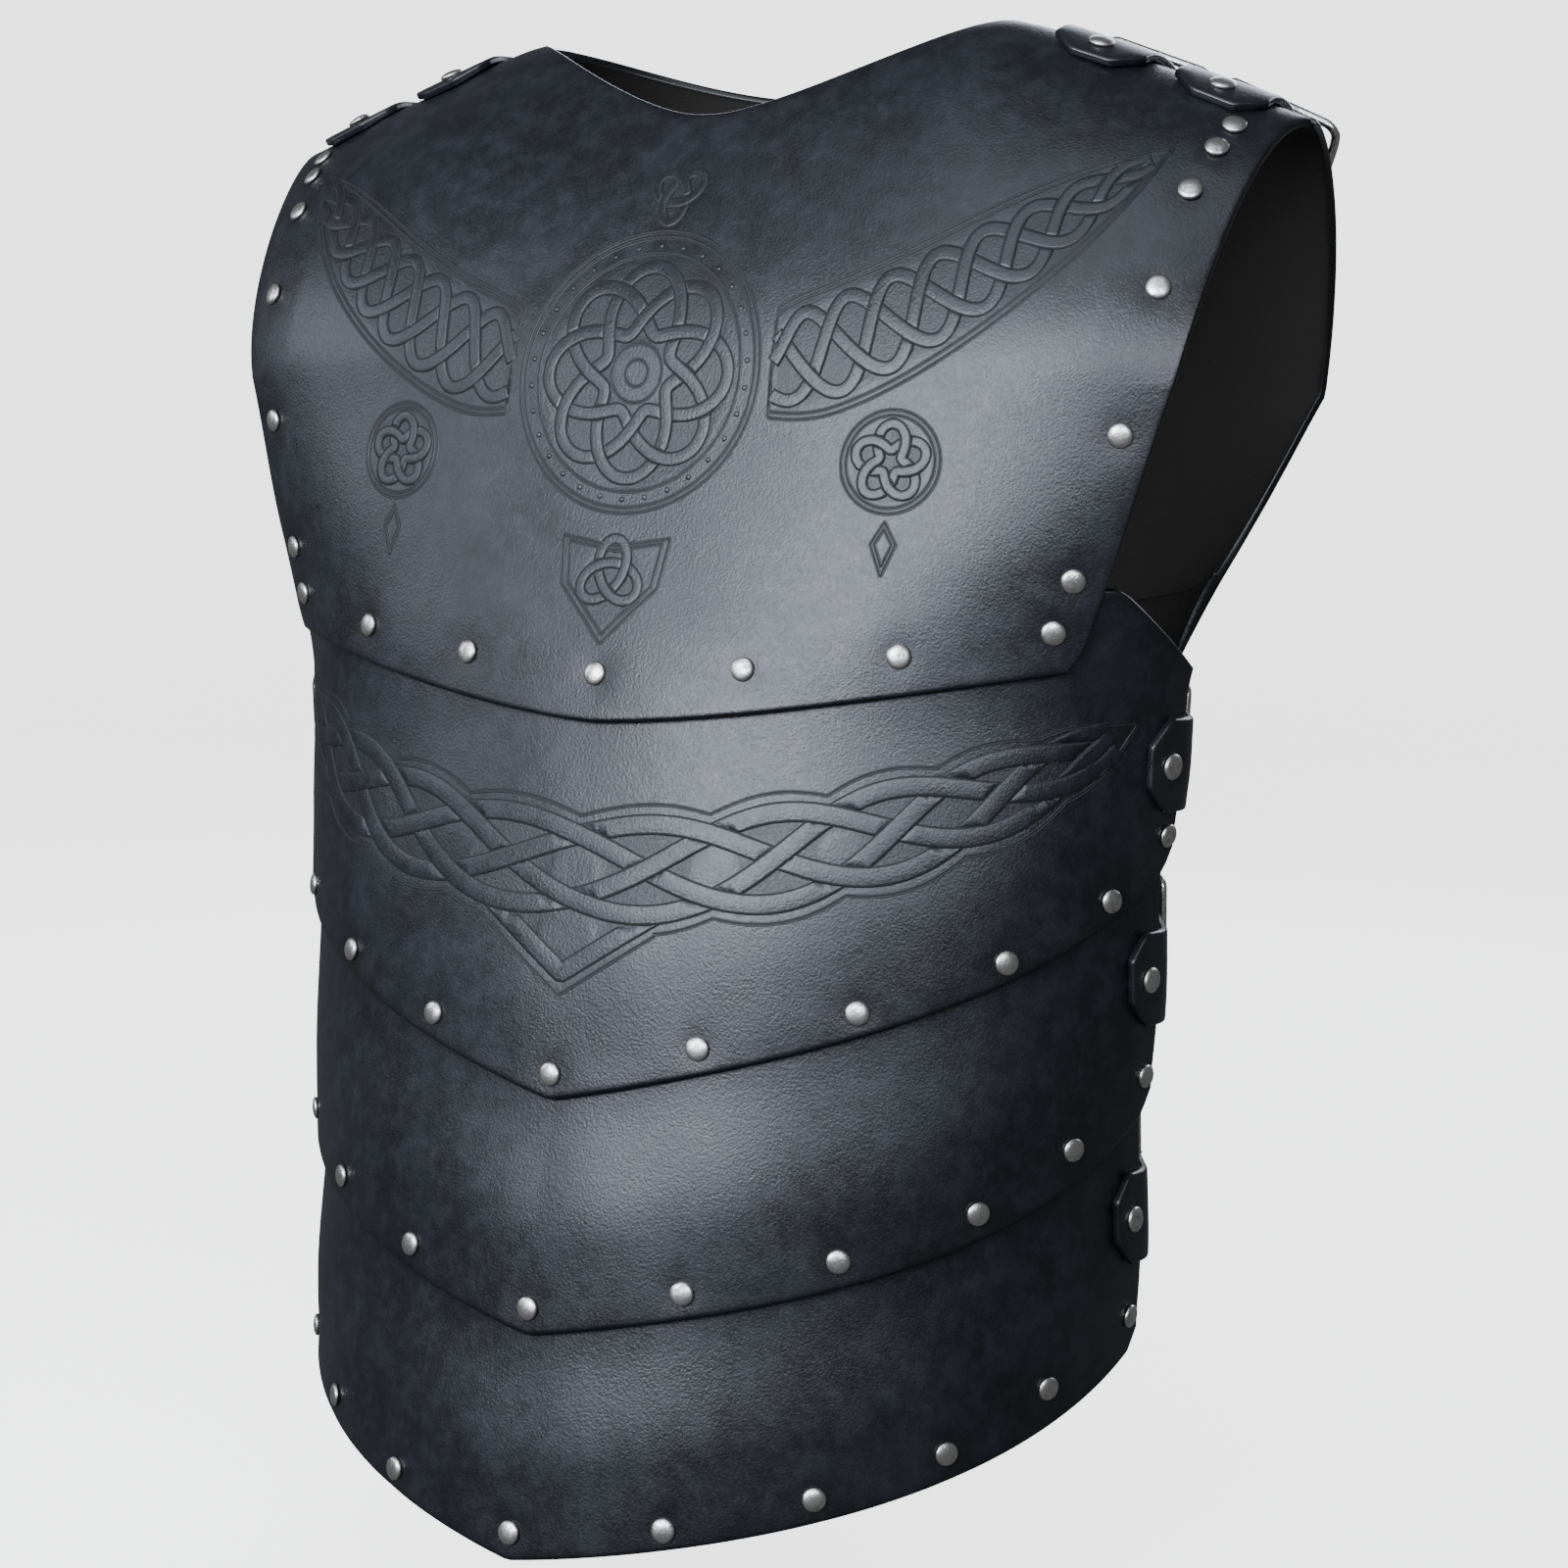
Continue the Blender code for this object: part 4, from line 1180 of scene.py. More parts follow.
def band_tooling():
    """Plaited band that rises to both sides, over a pointed tip in the middle."""
    work = Tooling(band_skin)
    half = work.size.strand
    a = np.linspace(-BAND.tip, BAND.tip, 1401)
    t = np.abs(a) / BAND.tip
    middle = np.stack([a, BAND.height + BAND.rise * t ** 2.0], 1)
    reach = BAND.reach * (1 - t ** 4) ** 0.75
    phase = (2 * math.pi * np.sign(a) * (BAND.turns * t + BAND.hurry * t * t)
             + math.pi / 4)
    woven = t < BAND.end
    paths = [resample(p[woven], STRAND_STEP) for p in plait(middle, reach, phase, 4)]
    share = np.abs(np.linspace(-BAND.end, BAND.end, 400))
    halves = [np.interp(np.linspace(0, 399, len(p)), np.arange(400),
                        half * (1 - 0.55 * share ** 7)) for p in paths]
    work.weave(paths + [resample(np.array(VEE), STRAND_STEP)], [False] * 5,
               halves + [half], tucked=1)
    for sign in (-1, 1):
        lobes = np.max([sign * reach * np.sin(phase + math.pi / 2 * k)
                        for k in range(4)], axis=0)
        edge = beside(middle, sign * (lobes + half + BAND_EDGE_ROOM) * (1 - t ** 14))
        whole, broken = (a < 2,), (a < -BAND_EDGE_BREAK, a > BAND_EDGE_BREAK)
        for part in whole if sign > 0 else broken:
            work.line(resample(edge[part], LINE_STEP))
    work.line(resample(np.array(VEE_LINE), FINE_LINE_STEP))
    return work


def tooling_dots():
    """Places and normals of the small beads round the roundel."""
    turn = np.linspace(0, 2 * math.pi, BEADS, endpoint=False)
    beads = np.stack([HUB[0] + BEAD_RING * np.sin(turn),
                      HUB[1] + BEAD_RING * np.cos(turn)], 1)
    return [skin_frame(chest_skin, x, z) for x, z in beads]


# ----------------------------------------------------------------------- strap tracks
def row_interp(wanted, lengths, values):
    """Linear reading of values where each row of lengths reaches its wanted one."""
    right = np.clip((lengths < wanted[..., None]).sum(-1), 1, lengths.shape[-1] - 1)
    low = np.take_along_axis(lengths, (right - 1)[..., None], -1)[..., 0]
    high = np.take_along_axis(lengths, right[..., None], -1)[..., 0]
    share = np.clip((wanted - low) / (high - low), 0.0, 1.0)[..., None]
    a = np.take_along_axis(values, (right - 1)[..., None, None], -2)[..., 0, :]
    b = np.take_along_axis(values, right[..., None, None], -2)[..., 0, :]
    return a * (1 - share) + b * share


def shoulder_track(hand, centre):
    """Track over the shoulder: distance from the ridge, lateral towards the arm."""
    def surface(run, offset):
        x = centre + offset / math.hypot(1.0, RIDGE_FALL) - SHOULDER_DRIFT * np.maximum(run, 0)
        share = np.linspace(1.0, 1e-6, 200)
        x = x[..., None] + 0 * share
        points = np.where((run < 0)[..., None, None], torso("front", x, share + 0 * x),
                          torso("back", x, share + 0 * x))
        pace = np.linalg.norm(np.diff(points, axis=-2), axis=-1)
        lengths = np.concatenate([0 * pace[..., :1], np.cumsum(pace, -1)], -1)
        return row_interp(np.abs(run), lengths, points)

    def track(distance, lateral, lift):
        distance, lateral, lift = np.broadcast_arrays(
            *(np.asarray(v, float) for v in (distance, lateral, lift)))
        step = 5e-4
        along = surface(distance + step, lateral) - surface(distance - step, lateral)
        across = surface(distance, lateral + step) - surface(distance, lateral - step)
        normal = unit(np.cross(across, along))
        return (surface(distance, lateral) + normal * (LEATHER + lift)[..., None]) * [hand, 1, 1]
    return track


def side_gap(row):
    """Straight distance between the front and back plates at a side strap."""
    height = np.asarray(row.level, float)
    front, _ = belly("front", side_angle("front", height), height)
    back, _ = belly("back", side_angle("back", height), height)
    return float(np.linalg.norm(front - back))


def side_track(hand, row):
    """Track round the side: distance from the front plate's edge, lateral upwards.

    Between the plates it is the straight line from edge to edge, and the bends are
    eased by averaging places up to 4 mm before and behind.
    """
    span = side_gap(row)

    def edge(side, run, height, lift):
        angle = side_angle(side, height)
        rate = np.linalg.norm(belly(side, angle, height)[0]
                              - belly(side, angle - 1e-3, height)[0], axis=-1)
        share = 1 - run * 1e-3 / rate / angle
        return lame_skin(side, row.lame, share, height, lift)[0]

    def track(distance, lateral, lift):
        distance, lateral, lift = np.broadcast_arrays(
            *(np.asarray(v, float) for v in (distance, lateral, lift)))
        height = row.level + lateral
        total = 0
        for ease in EASES:
            at = distance + ease
            front = edge("front", np.maximum(-at, 0), height, lift)
            back = edge("back", np.maximum(at - span, 0), height, lift)
            share = np.clip(at / span, 0.0, 1.0)[..., None]
            total = total + front * (1 - share) + back * share
        return total / len(EASES) * [hand, 1, 1]
    return track, span


Seat = namedtuple("Seat", "place along outward sideways")


def track_frame(track, distance, lift):
    """Place, strap direction, outward normal and sideways direction on a track."""
    reach = 0.010
    place = track(distance, 0.0, lift)
    along = unit(track(distance + reach, 0.0, lift) - track(distance - reach, 0.0, lift))
    across = track(distance, reach, lift) - track(distance, -reach, lift)
    sideways = unit(across - along * across.dot(along))
    out = np.cross(along, sideways)
    if out.dot(track(distance, 0.0, lift + 0.004) - place) < 0:
        out = -out
    return Seat(place, along, out, sideways)


class Fastening:
    """Measures of one strap: where it starts, its buckle, its chape and its rivets."""

    def __init__(self, name, track, half, tab, tab_rivet, buckle_at):
        self.name, self.track, self.half = name, track, half
        self.tab, self.tab_rivet, self.buckle_at = tab, tab_rivet, buckle_at
        self.seat = track_frame(track, buckle_at, 0.0)
        spots = [(buckle_at + a * BUCKLE_HALF_LENGTH, s * half)
                 for a in (-1, 1) for s in (-1, 0, 1)]
        corners = [track(*spot, 0.0) - self.seat.place for spot in spots]
        sag = max(-corner.dot(self.seat.outward) for corner in corners)
        self.reach = BUCKLE_SIDE_ROOM + max(
            abs((track(*spot, 0.008) - self.seat.place).dot(self.seat.sideways))
            for spot in spots)
        skew = BUCKLE_HALF_LENGTH - min(c.dot(self.seat.along) for c in corners[3:])
        self.over_bar = BUCKLE_GAP + 2 * BUCKLE_WIRE + GAP + sag
        self.rear = BUCKLE_GAP + BUCKLE_WIRE
        self.front = self.over_bar + STRAP_THICK + 3 * GAP + BUCKLE_WIRE
        self.chape_start = buckle_at + BUCKLE_HALF_LENGTH + BUCKLE_WIRE + 2 * GAP + skew
        self.end = buckle_at + STRAP_PAST_BUCKLE

    def strap_lift(self, distance):
        """Height of the strap's under face: low on the plate, up over the buckle bar."""
        ride_up = self.buckle_at - RIDE_UP
        rise = smooth(ride_up, ride_up + RIDE_UP_RUN, distance)
        return STRAP_OFF + (self.over_bar - STRAP_OFF) * rise


def strap_section(half, thick, radius):
    """Closed rounded-rectangle loop: lateral places and heights of its points."""
    turn = np.radians([0, 22, 45, 68, 90])
    flat = np.linspace(-1, 1, 7)[1:-1]
    inner = half - radius
    lateral = [inner + radius * np.cos(turn), -flat * inner,
               -inner - radius * np.sin(turn), -inner - radius * np.cos(turn),
               flat * inner, inner + radius * np.sin(turn)]
    height = [thick - radius + radius * np.sin(turn), thick + 0 * flat,
              thick - radius + radius * np.cos(turn), radius - radius * np.sin(turn),
              0 * flat, radius - radius * np.cos(turn)]
    return np.concatenate(lateral), np.concatenate(height)


def strap_band(name, track, first, last, half, thick, lift_at, tips, nodes):
    """A strap: the rounded section carried along its track, narrowed at cut tips."""
    radius, ends = STRAP_ROUND, np.array(STRAP_ENDS)
    middle = np.linspace(first + STRAP_TIP, last - STRAP_TIP,
                         max(int((last - first) / STRAP_STATION), 6))
    stations = np.concatenate([first + ends[:-1], middle, last - ends[::-1][1:]])
    from_first, from_last = stations - first, last - stations
    width = np.full(len(stations), half)
    for tipped, away in zip(tips, (from_first, from_last)):
        if tipped:
            part = TIP_SHARE + (1 - TIP_SHARE) * np.clip(away / STRAP_TIP, 0, 1)
            width = width * part
    inset = rounding(np.minimum(from_first, from_last), radius)
    across = np.stack([strap_section(part, thick, radius)[0] for part in width])
    up = strap_section(half, thick, radius)[1]
    shrink = (thick / 2 - inset * 0.95)[:, None] / (thick / 2)
    up = thick / 2 + (up[None] - thick / 2) * shrink
    lateral = across * (1 - inset / width)[:, None]
    lift = lift_at(stations)[:, None] + up
    points = track(stations[:, None] + 0 * lateral, lateral, lift)
    centre = points[[0, -1]].mean(axis=1)
    at_side = smooth(0.86, 1.0, np.abs(lateral) / width[:, None])
    at_end = np.exp(-np.minimum(from_first, from_last) / STRAP_BURNISH)[:, None]
    edge = np.concatenate([np.maximum(at_side, at_end).ravel(), [1, 1]])
    points = np.concatenate([points.reshape(-1, 3), centre])
    faces = outward(points, loft_faces(*lateral.shape))
    piece = make_object(name, points, faces, {"edge": edge})
    return finish_piece(piece, leather_material("strap"), "strap", *nodes)


def all_fastenings():
    """The ten straps, as tracks with their measures."""
    found = []
    for label, hand in (("left", 1), ("right", -1)):
        for name, centre in SHOULDER_STRAPS:
            found.append(Fastening(f"{label}_{name}", shoulder_track(hand, centre),
                                   SHOULDER_STRAP_HALF, SHOULDER_TAB,
                                   SHOULDER_TAB_RIVET, SHOULDER_BUCKLE))
        for row in SIDE_STRAPS:
            track, span = side_track(hand, row)
            found.append(Fastening(f"{label}_{row.name}", track, STRAP_HALF, SIDE_TAB,
                                   SIDE_TAB_RIVET, span + BUCKLE_FROM_EDGE))
    return found


# ---------------------------------------------------------------------- caps and metal
CAP_SIDES = 28
CAP_RISE = np.radians([14, 30, 46, 62, 76])
CAP_RINGS = np.concatenate([[0.94, 1.0, 1.0], np.cos(CAP_RISE)])
CAP_LEVELS = np.concatenate([[-0.15, 0.0, 0.22], 0.22 + 0.78 * np.sin(CAP_RISE)])
CAP_TILT = 0.035           # spread of the random lean of a cap


def domes(name, places, normals, radii, height, tilt, seed):
    """Low round domes: a short skirt and an elliptical crown turned about each normal."""
    angle = np.linspace(0, 2 * math.pi, CAP_SIDES, endpoint=False)
    rng = np.random.default_rng(seed)
    places, normals = np.array(places), unit(np.array(normals))
    normals = unit(normals + rng.normal(0, tilt, normals.shape))
    helper = np.where(np.abs(normals[:, 2:]) > 0.9, [[1.0, 0, 0]], [[0, 0, 1.0]])
    side = unit(np.cross(helper, normals))
    other = np.cross(normals, side)
    spokes = (side[:, None, None] * np.cos(angle)[None, None, :, None]
              + other[:, None, None] * np.sin(angle)[None, None, :, None])
    reach = np.asarray(radii)[:, None, None, None] * CAP_RINGS[None, :, None, None]
    points = (places[:, None, None] + spokes * reach
              + normals[:, None, None] * (CAP_LEVELS * height)[None, :, None, None])
    poles = np.stack([places - normals * 0.15 * height, places + normals * height], 1)
    points = np.concatenate([points.reshape(len(places), -1, 3), poles], axis=1)
    shift = (np.arange(len(places)) * points.shape[1])[:, None, None]
    one = loft_faces(len(CAP_LEVELS), CAP_SIDES)
    faces = [(group[None] + shift).reshape(-1, group.shape[1]) for group in one]
    points = points.reshape(-1, 3)
    return make_object(name, points, outward(points, faces))


def tube(path, radius, closed, sides=14):
    """Points and faces of a round tube: circles across the path's own directions."""
    if closed:
        tangent = unit(np.roll(path, -1, axis=0) - np.roll(path, 1, axis=0))
    else:
        tangent = unit(np.gradient(path, axis=0))
    flat = unit(np.cross(tangent, np.array([0.0, 0.0, 1.0]) + 0 * tangent))
    up = np.cross(flat, tangent)
    angle = np.linspace(0, 2 * math.pi, sides, endpoint=False)[None, :, None]
    radius = np.broadcast_to(radius, len(path))[:, None, None]
    points = path[:, None] + radius * (flat[:, None] * np.cos(angle) + up[:, None] * np.sin(angle))
    points = points.reshape(-1, 3)
    if not closed:
        points = np.concatenate([points, path[[0, -1]]])
    return points, loft_faces(len(path), sides, 0, closed)


def buckle_piece(item):
    """Bent wire frame with a rounded-rectangle plan, and its tongue."""
    length, bend = BUCKLE_HALF_LENGTH, BUCKLE_BEND
    corner = np.radians(np.linspace(0, 90, 9))
    plan = []
    for sign_a, sign_s, start in ((1, 1, 0), (-1, 1, 90), (-1, -1, 180), (1, -1, 270)):
        angle = corner + math.radians(start)
        plan.append(np.stack([sign_a * (length - bend) + bend * np.cos(angle),
                              sign_s * (item.reach - bend) + bend * np.sin(angle)], 1))
    plan = resample(np.concatenate(plan), 0.0011, True)
    level = item.rear + (item.front - item.rear) * smooth(-0.7 * length, 0.7 * length,
                                                          -plan[:, 0])
    frame_points, frame_faces = tube(np.column_stack([plan, level]), BUCKLE_WIRE, True)
    t = np.linspace(0, 1, 26)
    over = item.over_bar + STRAP_THICK
    reach = length * (0.42 - 1.52 * t)
    lift = over - 0.0012 + (item.front + BUCKLE_WIRE * 0.62 - over + 0.0012) * smooth(0, 0.6, t)
    lift = lift - 0.0010 * smooth(0.92, 1.0, t)
    tongue_path = np.column_stack([reach, 0 * t, lift])
    tongue_points, tongue_faces = tube(
        tongue_path, TONGUE_RADIUS - TONGUE_TAPER * t, False)
    shift = len(frame_points)
    local = np.concatenate([frame_points, tongue_points])
    axes = np.stack([item.seat.along, item.seat.sideways, item.seat.outward])
    points = item.seat.place + local @ axes
    faces = frame_faces + [group + shift for group in tongue_faces]
    if np.linalg.det(axes) < 0:
        faces = [group[:, ::-1] for group in faces]
    quads = [np.concatenate([g for g in faces if g.shape[1] == 4]),
             np.concatenate([g for g in faces if g.shape[1] == 3])]
    piece = make_object(f"{item.name}_wire", points, outward(points, quads))
    return finish_piece(piece, buckle_material(), "buckle", f"{item.name}_buckle")


# -------------------------------------------------------------------------- materials
class Socket:
    """A node's output; arithmetic on it adds Math nodes."""

    def __init__(self, paint, link):
        self.paint, self.link = paint, link

    def _math(self, operation, first, second):
        return self.paint.node("ShaderNodeMath", {"operation": operation}, first, second)

    def __add__(self, other):
        return self._math("ADD", self, other)

    def __radd__(self, other):
        return self._math("ADD", other, self)

    def __sub__(self, other):
        return self._math("SUBTRACT", self, other)

    def __rsub__(self, other):
        return self._math("SUBTRACT", other, self)

    def __mul__(self, other):
        return self._math("MULTIPLY", self, other)

    def __rmul__(self, other):
        return self._math("MULTIPLY", other, self)

    def clamp(self, low, high):
        """0 below low and 1 above high, with a smooth step between."""
        return self.paint.node("ShaderNodeMapRange", {"interpolation_type": "SMOOTHSTEP"},
                               self, low, high, 0.0, 1.0)


class Paint:
    """A material's node tree, built from expressions."""

    def __init__(self, name):
        self.material = bpy.data.materials.new(name)
        self.material.use_nodes = True
        self.tree = self.material.node_tree
        self.shader = self.tree.nodes["Principled BSDF"]
        self.object = self.node("ShaderNodeTexCoord", {}, output="Object")

    def node(self, kind, settings, *values, output=0, **named):
        """Adds a node: settings first, then values or links of its sockets."""
        made = self.tree.nodes.new(kind)
        for key, value in settings.items():
            setattr(made, key, value)
        inputs = dict(enumerate(values))
        inputs.update({key.replace("_", " "): value for key, value in named.items()})
        for key, value in inputs.items():
            socket = made.inputs[key]
            if isinstance(value, Socket):
                self.tree.links.new(value.link, socket)
            else:
                socket.default_value = value
        return Socket(self, made.outputs[output])

    def noise(self, scale, detail, roughness=0.55):
        """Fractal noise in metres over the object."""
        return self.node("ShaderNodeTexNoise", {"noise_dimensions": "3D"},
                         Vector=self.object, Scale=scale, Detail=detail,
                         Roughness=roughness)

    def attribute(self, name):
        """A value stored on the mesh's points."""
        return self.node("ShaderNodeAttribute", {"attribute_name": name}, output="Fac")

    def mix(self, share, first, second):
        """Colour first where share is 0 and second where it is 1."""
        made = self.tree.nodes.new("ShaderNodeMix")
        made.data_type = "RGBA"
        for index, value in ((0, share), (6, first), (7, second)):
            if isinstance(value, Socket):
                self.tree.links.new(value.link, made.inputs[index])
            elif index:
                made.inputs[index].default_value = (*value, 1.0)
            else:
                made.inputs[index].default_value = value
        return Socket(self, made.outputs[2])

    def bump(self, height, distance, normal=None):
        """Normal bent by a height, on top of another normal if there is one."""
        return self.node("ShaderNodeBump", {}, Height=height, Distance=distance,
                         Strength=1.0, **({"Normal": normal} if normal else {}))

    def done(self, **sockets):
        """Fills the shader's sockets and returns the material."""
        for key, value in sockets.items():
            socket = self.shader.inputs[key.replace("_", " ")]
            if isinstance(value, Socket):
                self.tree.links.new(value.link, socket)
            else:
                socket.default_value = value
        return self.material


# Near-black of the burnished edges, also the painted shade colour of the pressed lines, the worked
# ground and the rings round the caps.
BURNISH_AND_SHADE_COLOUR = (0.0012, 0.0012, 0.0014)


def leather_material(kind):
    """Satin leather: waxy clouds, fine pebbled grain, burnished edges, and painted shade in the
    pressed lines, the worked ground and round the caps.
    """
    name = f"black_{kind}_leather"
    if name in bpy.data.materials:
        return bpy.data.materials[name]
    look = bpy.context.scene.armour_leather
    paint = Paint(name)
    edge, dent = paint.attribute("edge"), paint.attribute("dent")
    tooled, flesh = paint.attribute("tooled"), paint.attribute("flesh")
    groove = paint.attribute("groove")
    clouds = paint.noise(scale=26.0, detail=5.0, roughness=0.60)
    mottle = paint.noise(scale=130.0, detail=6.0, roughness=0.66)
    pebble = paint.noise(scale=780.0, detail=3.0, roughness=0.62)
    stipple = paint.noise(scale=900.0, detail=3.0, roughness=0.7)
    cells = paint.node("ShaderNodeTexVoronoi", {"feature": "SMOOTH_F1"},
                       Vector=paint.object, Scale=1150.0, Smoothness=0.6,
                       Randomness=1.0, output="Distance")
    folds = paint.noise(scale=70.0, detail=3.0, roughness=0.5)
    bloom = clouds.clamp(0.36, 0.66) * 0.45 + mottle.clamp(0.40, 0.68) * 0.55
    # Darkening factor: the edge term is the real burnished edge; the dent and tooled terms are
    # painted shade round each cap and in the worked ground.
    worn = (1.0 - edge * 0.75) * (1.0 - dent * 0.62) * (1.0 - tooled * 0.18)
    # The groove term paints the pressed lines near black, as shade in their channels.
    dark = 1.0 - worn * (1.0 - groove * 0.97)
    if kind == "plate":
        base = paint.mix(bloom * (1.0 - dark), look.plate_colour, look.plate_bloom)
        base = paint.mix(dark * 0.85, base, BURNISH_AND_SHADE_COLOUR)
        rough, depth = look.roughness, look.grain
    else:
        base = paint.mix(bloom, look.strap_colour, [c * 1.9 for c in look.strap_colour])
        rough, depth = look.strap_roughness, look.grain * 0.6
    base = paint.mix(flesh, base, look.flesh_colour)
    roughness = (rough + (mottle - 0.5) * 0.17 + (pebble - 0.5) * 0.26
                 + (clouds - 0.5) * 0.11 + tooled * 0.06 + groove * 0.35
                 - edge * 0.08 + flesh * 0.34)
    grain = (cells * 0.5 + pebble * 0.6) * (1.0 - edge * 0.7) + tooled * stipple * 1.6
    fine = paint.bump(grain + flesh * stipple * 1.5, depth)
    normal = paint.bump(folds * (1.0 - edge), depth * 0.8, normal=fine)
    return paint.done(Base_Color=base, Roughness=roughness, Normal=normal,
                      Specular_IOR_Level=0.5)


def metal_paint(name, colour, patina, rough):
    """Worn nickel: patina blotches, tiny scratches and a soft uneven reflection."""
    if name in bpy.data.materials:
        return bpy.data.materials[name]
    paint = Paint(name)
    blots = paint.noise(scale=330.0, detail=5.0, roughness=0.65)
    small = paint.noise(scale=1400.0, detail=3.0, roughness=0.6)
    wear = blots.clamp(0.44, 0.72)
    base = paint.mix(wear * 0.75, colour, patina)
    roughness = rough + wear * 0.22 + (small - 0.5) * 0.14
    normal = paint.bump(small * 0.5 + blots, 0.00012)
    return paint.done(Base_Color=base, Roughness=roughness, Normal=normal, Metallic=1.0)


def metal_material():
    look = bpy.context.scene.armour_hardware
    return metal_paint("worn_nickel_caps", look.nickel, look.patina, 0.31)


def buckle_material():
    look = bpy.context.scene.armour_hardware
    return metal_paint("plain_nickel_buckles", [c * 1.12 for c in look.nickel],
                       [c * 2 for c in look.patina], 0.20)


# ---------------------------------------------------------------------------- operators
CHEST_GRID, YOKE_GRID = (250, 150), (155, 100)       # columns and rows
FRONT_LAME_GRIDS = ((230, 70), (180, 58), (180, 58))
BACK_LAME_GRID = (140, 48)


class FrontPlates(bpy.types.Operator):
    """Build the chest plate and the three front plates under it"""
    bl_idname = "chest_armour.front_plates"
    bl_label = "Front plates"

    def execute(self, context):
        shade = chest_tooling().ground(lambda p: (p[..., 0], p[..., 2]))
        upper_plate("front", "chest_plate", *CHEST_GRID, [p for p, _ in chest_caps()],
                    shade)

        def chart(points):
            width = along_sections("front_width", points[..., 2])
            power = along_sections("squareness", points[..., 2])
            share = np.clip(np.abs(points[..., 0]) / (width + 0.006), 0, 0.9999)
            angle = np.arcsin(share ** (power / 2)) * np.sign(points[..., 0])
            return ARCS.arc(angle, points[..., 2]), points[..., 2]
        shade = band_tooling().ground(chart)
        for index, grid in enumerate(FRONT_LAME_GRIDS):
            lame_plate("front", index, *grid, [p for p, _ in lame_caps("front", index)],
                       shade if index == 0 else None)
        return {"FINISHED"}


class BackPlates(bpy.types.Operator):
    """Build the yoke and the three back plates under it"""
    bl_idname = "chest_armour.back_plates"
    bl_label = "Back plates"

    def execute(self, context):
        upper_plate("back", "back_yoke", *YOKE_GRID, [p for p, _ in yoke_caps()])
        for index in range(len(LAMES)):
            lame_plate("back", index, *BACK_LAME_GRID,
                       [p for p, _ in lame_caps("back", index)])
        return {"FINISHED"}


class PlateCaps(bpy.types.Operator):
    """Set the domed caps along the borders of the plates"""
    bl_idname = "chest_armour.plate_caps"
    bl_label = "Border caps"

    def execute(self, context):
        size, seed = context.scene.armour_hardware, context.scene.armour_stage.seed
        groups = {"chest_plate": chest_caps(), "back_yoke": yoke_caps()}
        for side in ("front", "back"):
            for index, lame in enumerate(LAMES):
                groups[f"{side}_{lame.name}"] = lame_caps(side, index)
        for k, (name, caps) in enumerate(groups.items()):
            radii = np.full(len(caps), size.cap_radius)
            piece = domes(f"caps_{name}", [p for p, _ in caps], [n for _, n in caps],
                          radii, size.cap_height, CAP_TILT, seed + k)
            finish_piece(piece, metal_material(), "rivet")
        return {"FINISHED"}


class ChestTooling(bpy.types.Operator):
    """Raise the roundel and garland tooling on the chest plate"""
    bl_idname = "chest_armour.chest_tooling"
    bl_label = "Chest tooling"

    def execute(self, context):
        chest_tooling().piece("tooling_chest_plate")
        beads = tooling_dots()
        piece = domes("beads_chest_plate", [p for p, _ in beads], [n for _, n in beads],
                      np.full(len(beads), BEAD_RADIUS), BEAD_HEIGHT, 0.0, 0)
        finish_piece(piece, leather_material("plate"), "plate")
        return {"FINISHED"}


class BandTooling(bpy.types.Operator):
    """Raise the plaited band on the plate below the chest"""
    bl_idname = "chest_armour.band_tooling"
    bl_label = "Band tooling"

    def execute(self, context):
        band_tooling().piece("tooling_front_lame_2")
        return {"FINISHED"}


class Straps(bpy.types.Operator):
    """Build the shoulder and side straps and the chapes that hold their buckles"""
    bl_idname = "chest_armour.straps"
    bl_label = "Straps"

    def execute(self, context):
        for item in all_fastenings():
            strap_band(f"leather_{item.name}", item.track, -item.tab, item.end, item.half,
                       STRAP_THICK, item.strap_lift, (True, True), (item.name,))
            strap_band(f"leather_{item.name}_chape", item.track, item.chape_start,
                       item.chape_start + CHAPE_LENGTH, item.half * CHAPE_SHARE,
                       CHAPE_THICK, lambda d: STRAP_OFF + 0 * d, (False, True),
                       (f"{item.name}_chape",))
        return {"FINISHED"}


class StrapMetal(bpy.types.Operator):
    """Build the straps' buckles and rivet caps"""
    bl_idname = "chest_armour.strap_metal"
    bl_label = "Buckles and strap caps"

    def execute(self, context):
        size, seed = context.scene.armour_hardware, context.scene.armour_stage.seed
        places, normals, nodes = [], [], []
        for item in all_fastenings():
            buckle_piece(item)
            for distance, lift, node in (
                    (-item.tab_rivet, STRAP_OFF + STRAP_THICK, f"{item.name}_rivet"),
                    (item.chape_start + CHAPE_LENGTH - CHAPE_RIVET,
                     STRAP_OFF + CHAPE_THICK, f"{item.name}_chape_rivet")):
                seat = track_frame(item.track, distance, lift)
                places.append(seat.place)
                normals.append(seat.outward)
                nodes.append(node)
        piece = domes("caps_straps", places, normals,
                      np.full(len(places), size.strap_cap_radius), size.cap_height * 1.1,
                      CAP_TILT, seed + 50)
        finish_piece(piece, metal_material(), "rivet", *nodes)
        return {"FINISHED"}


Lamp = namedtuple("Lamp", "name width height distance azimuth elevation")
LAMPS = (
    Lamp("key", 0.96, 0.48, 1.5, -10, 15),
    Lamp("upper", 1.10, 0.42, 1.5, -6, 32),
    Lamp("side", 1.00, 0.48, 1.5, 32, 19),
    Lamp("top", 1.20, 0.60, 1.5, 8, 62),
    Lamp("edge", 0.50, 0.60, 1.5, -62, 22),
    Lamp("back", 2.00, 0.80, 1.7, 182, 31),
)
LAMP_COLOUR, SKY_COLOUR = (0.82, 0.88, 1.0), (0.88, 0.92, 1.0, 1.0)
FLOOR_BELOW = 0.045
FLOOR_REACH, FLOOR_BEND, WALL_TOP = 3.0, 1.2, 5.0


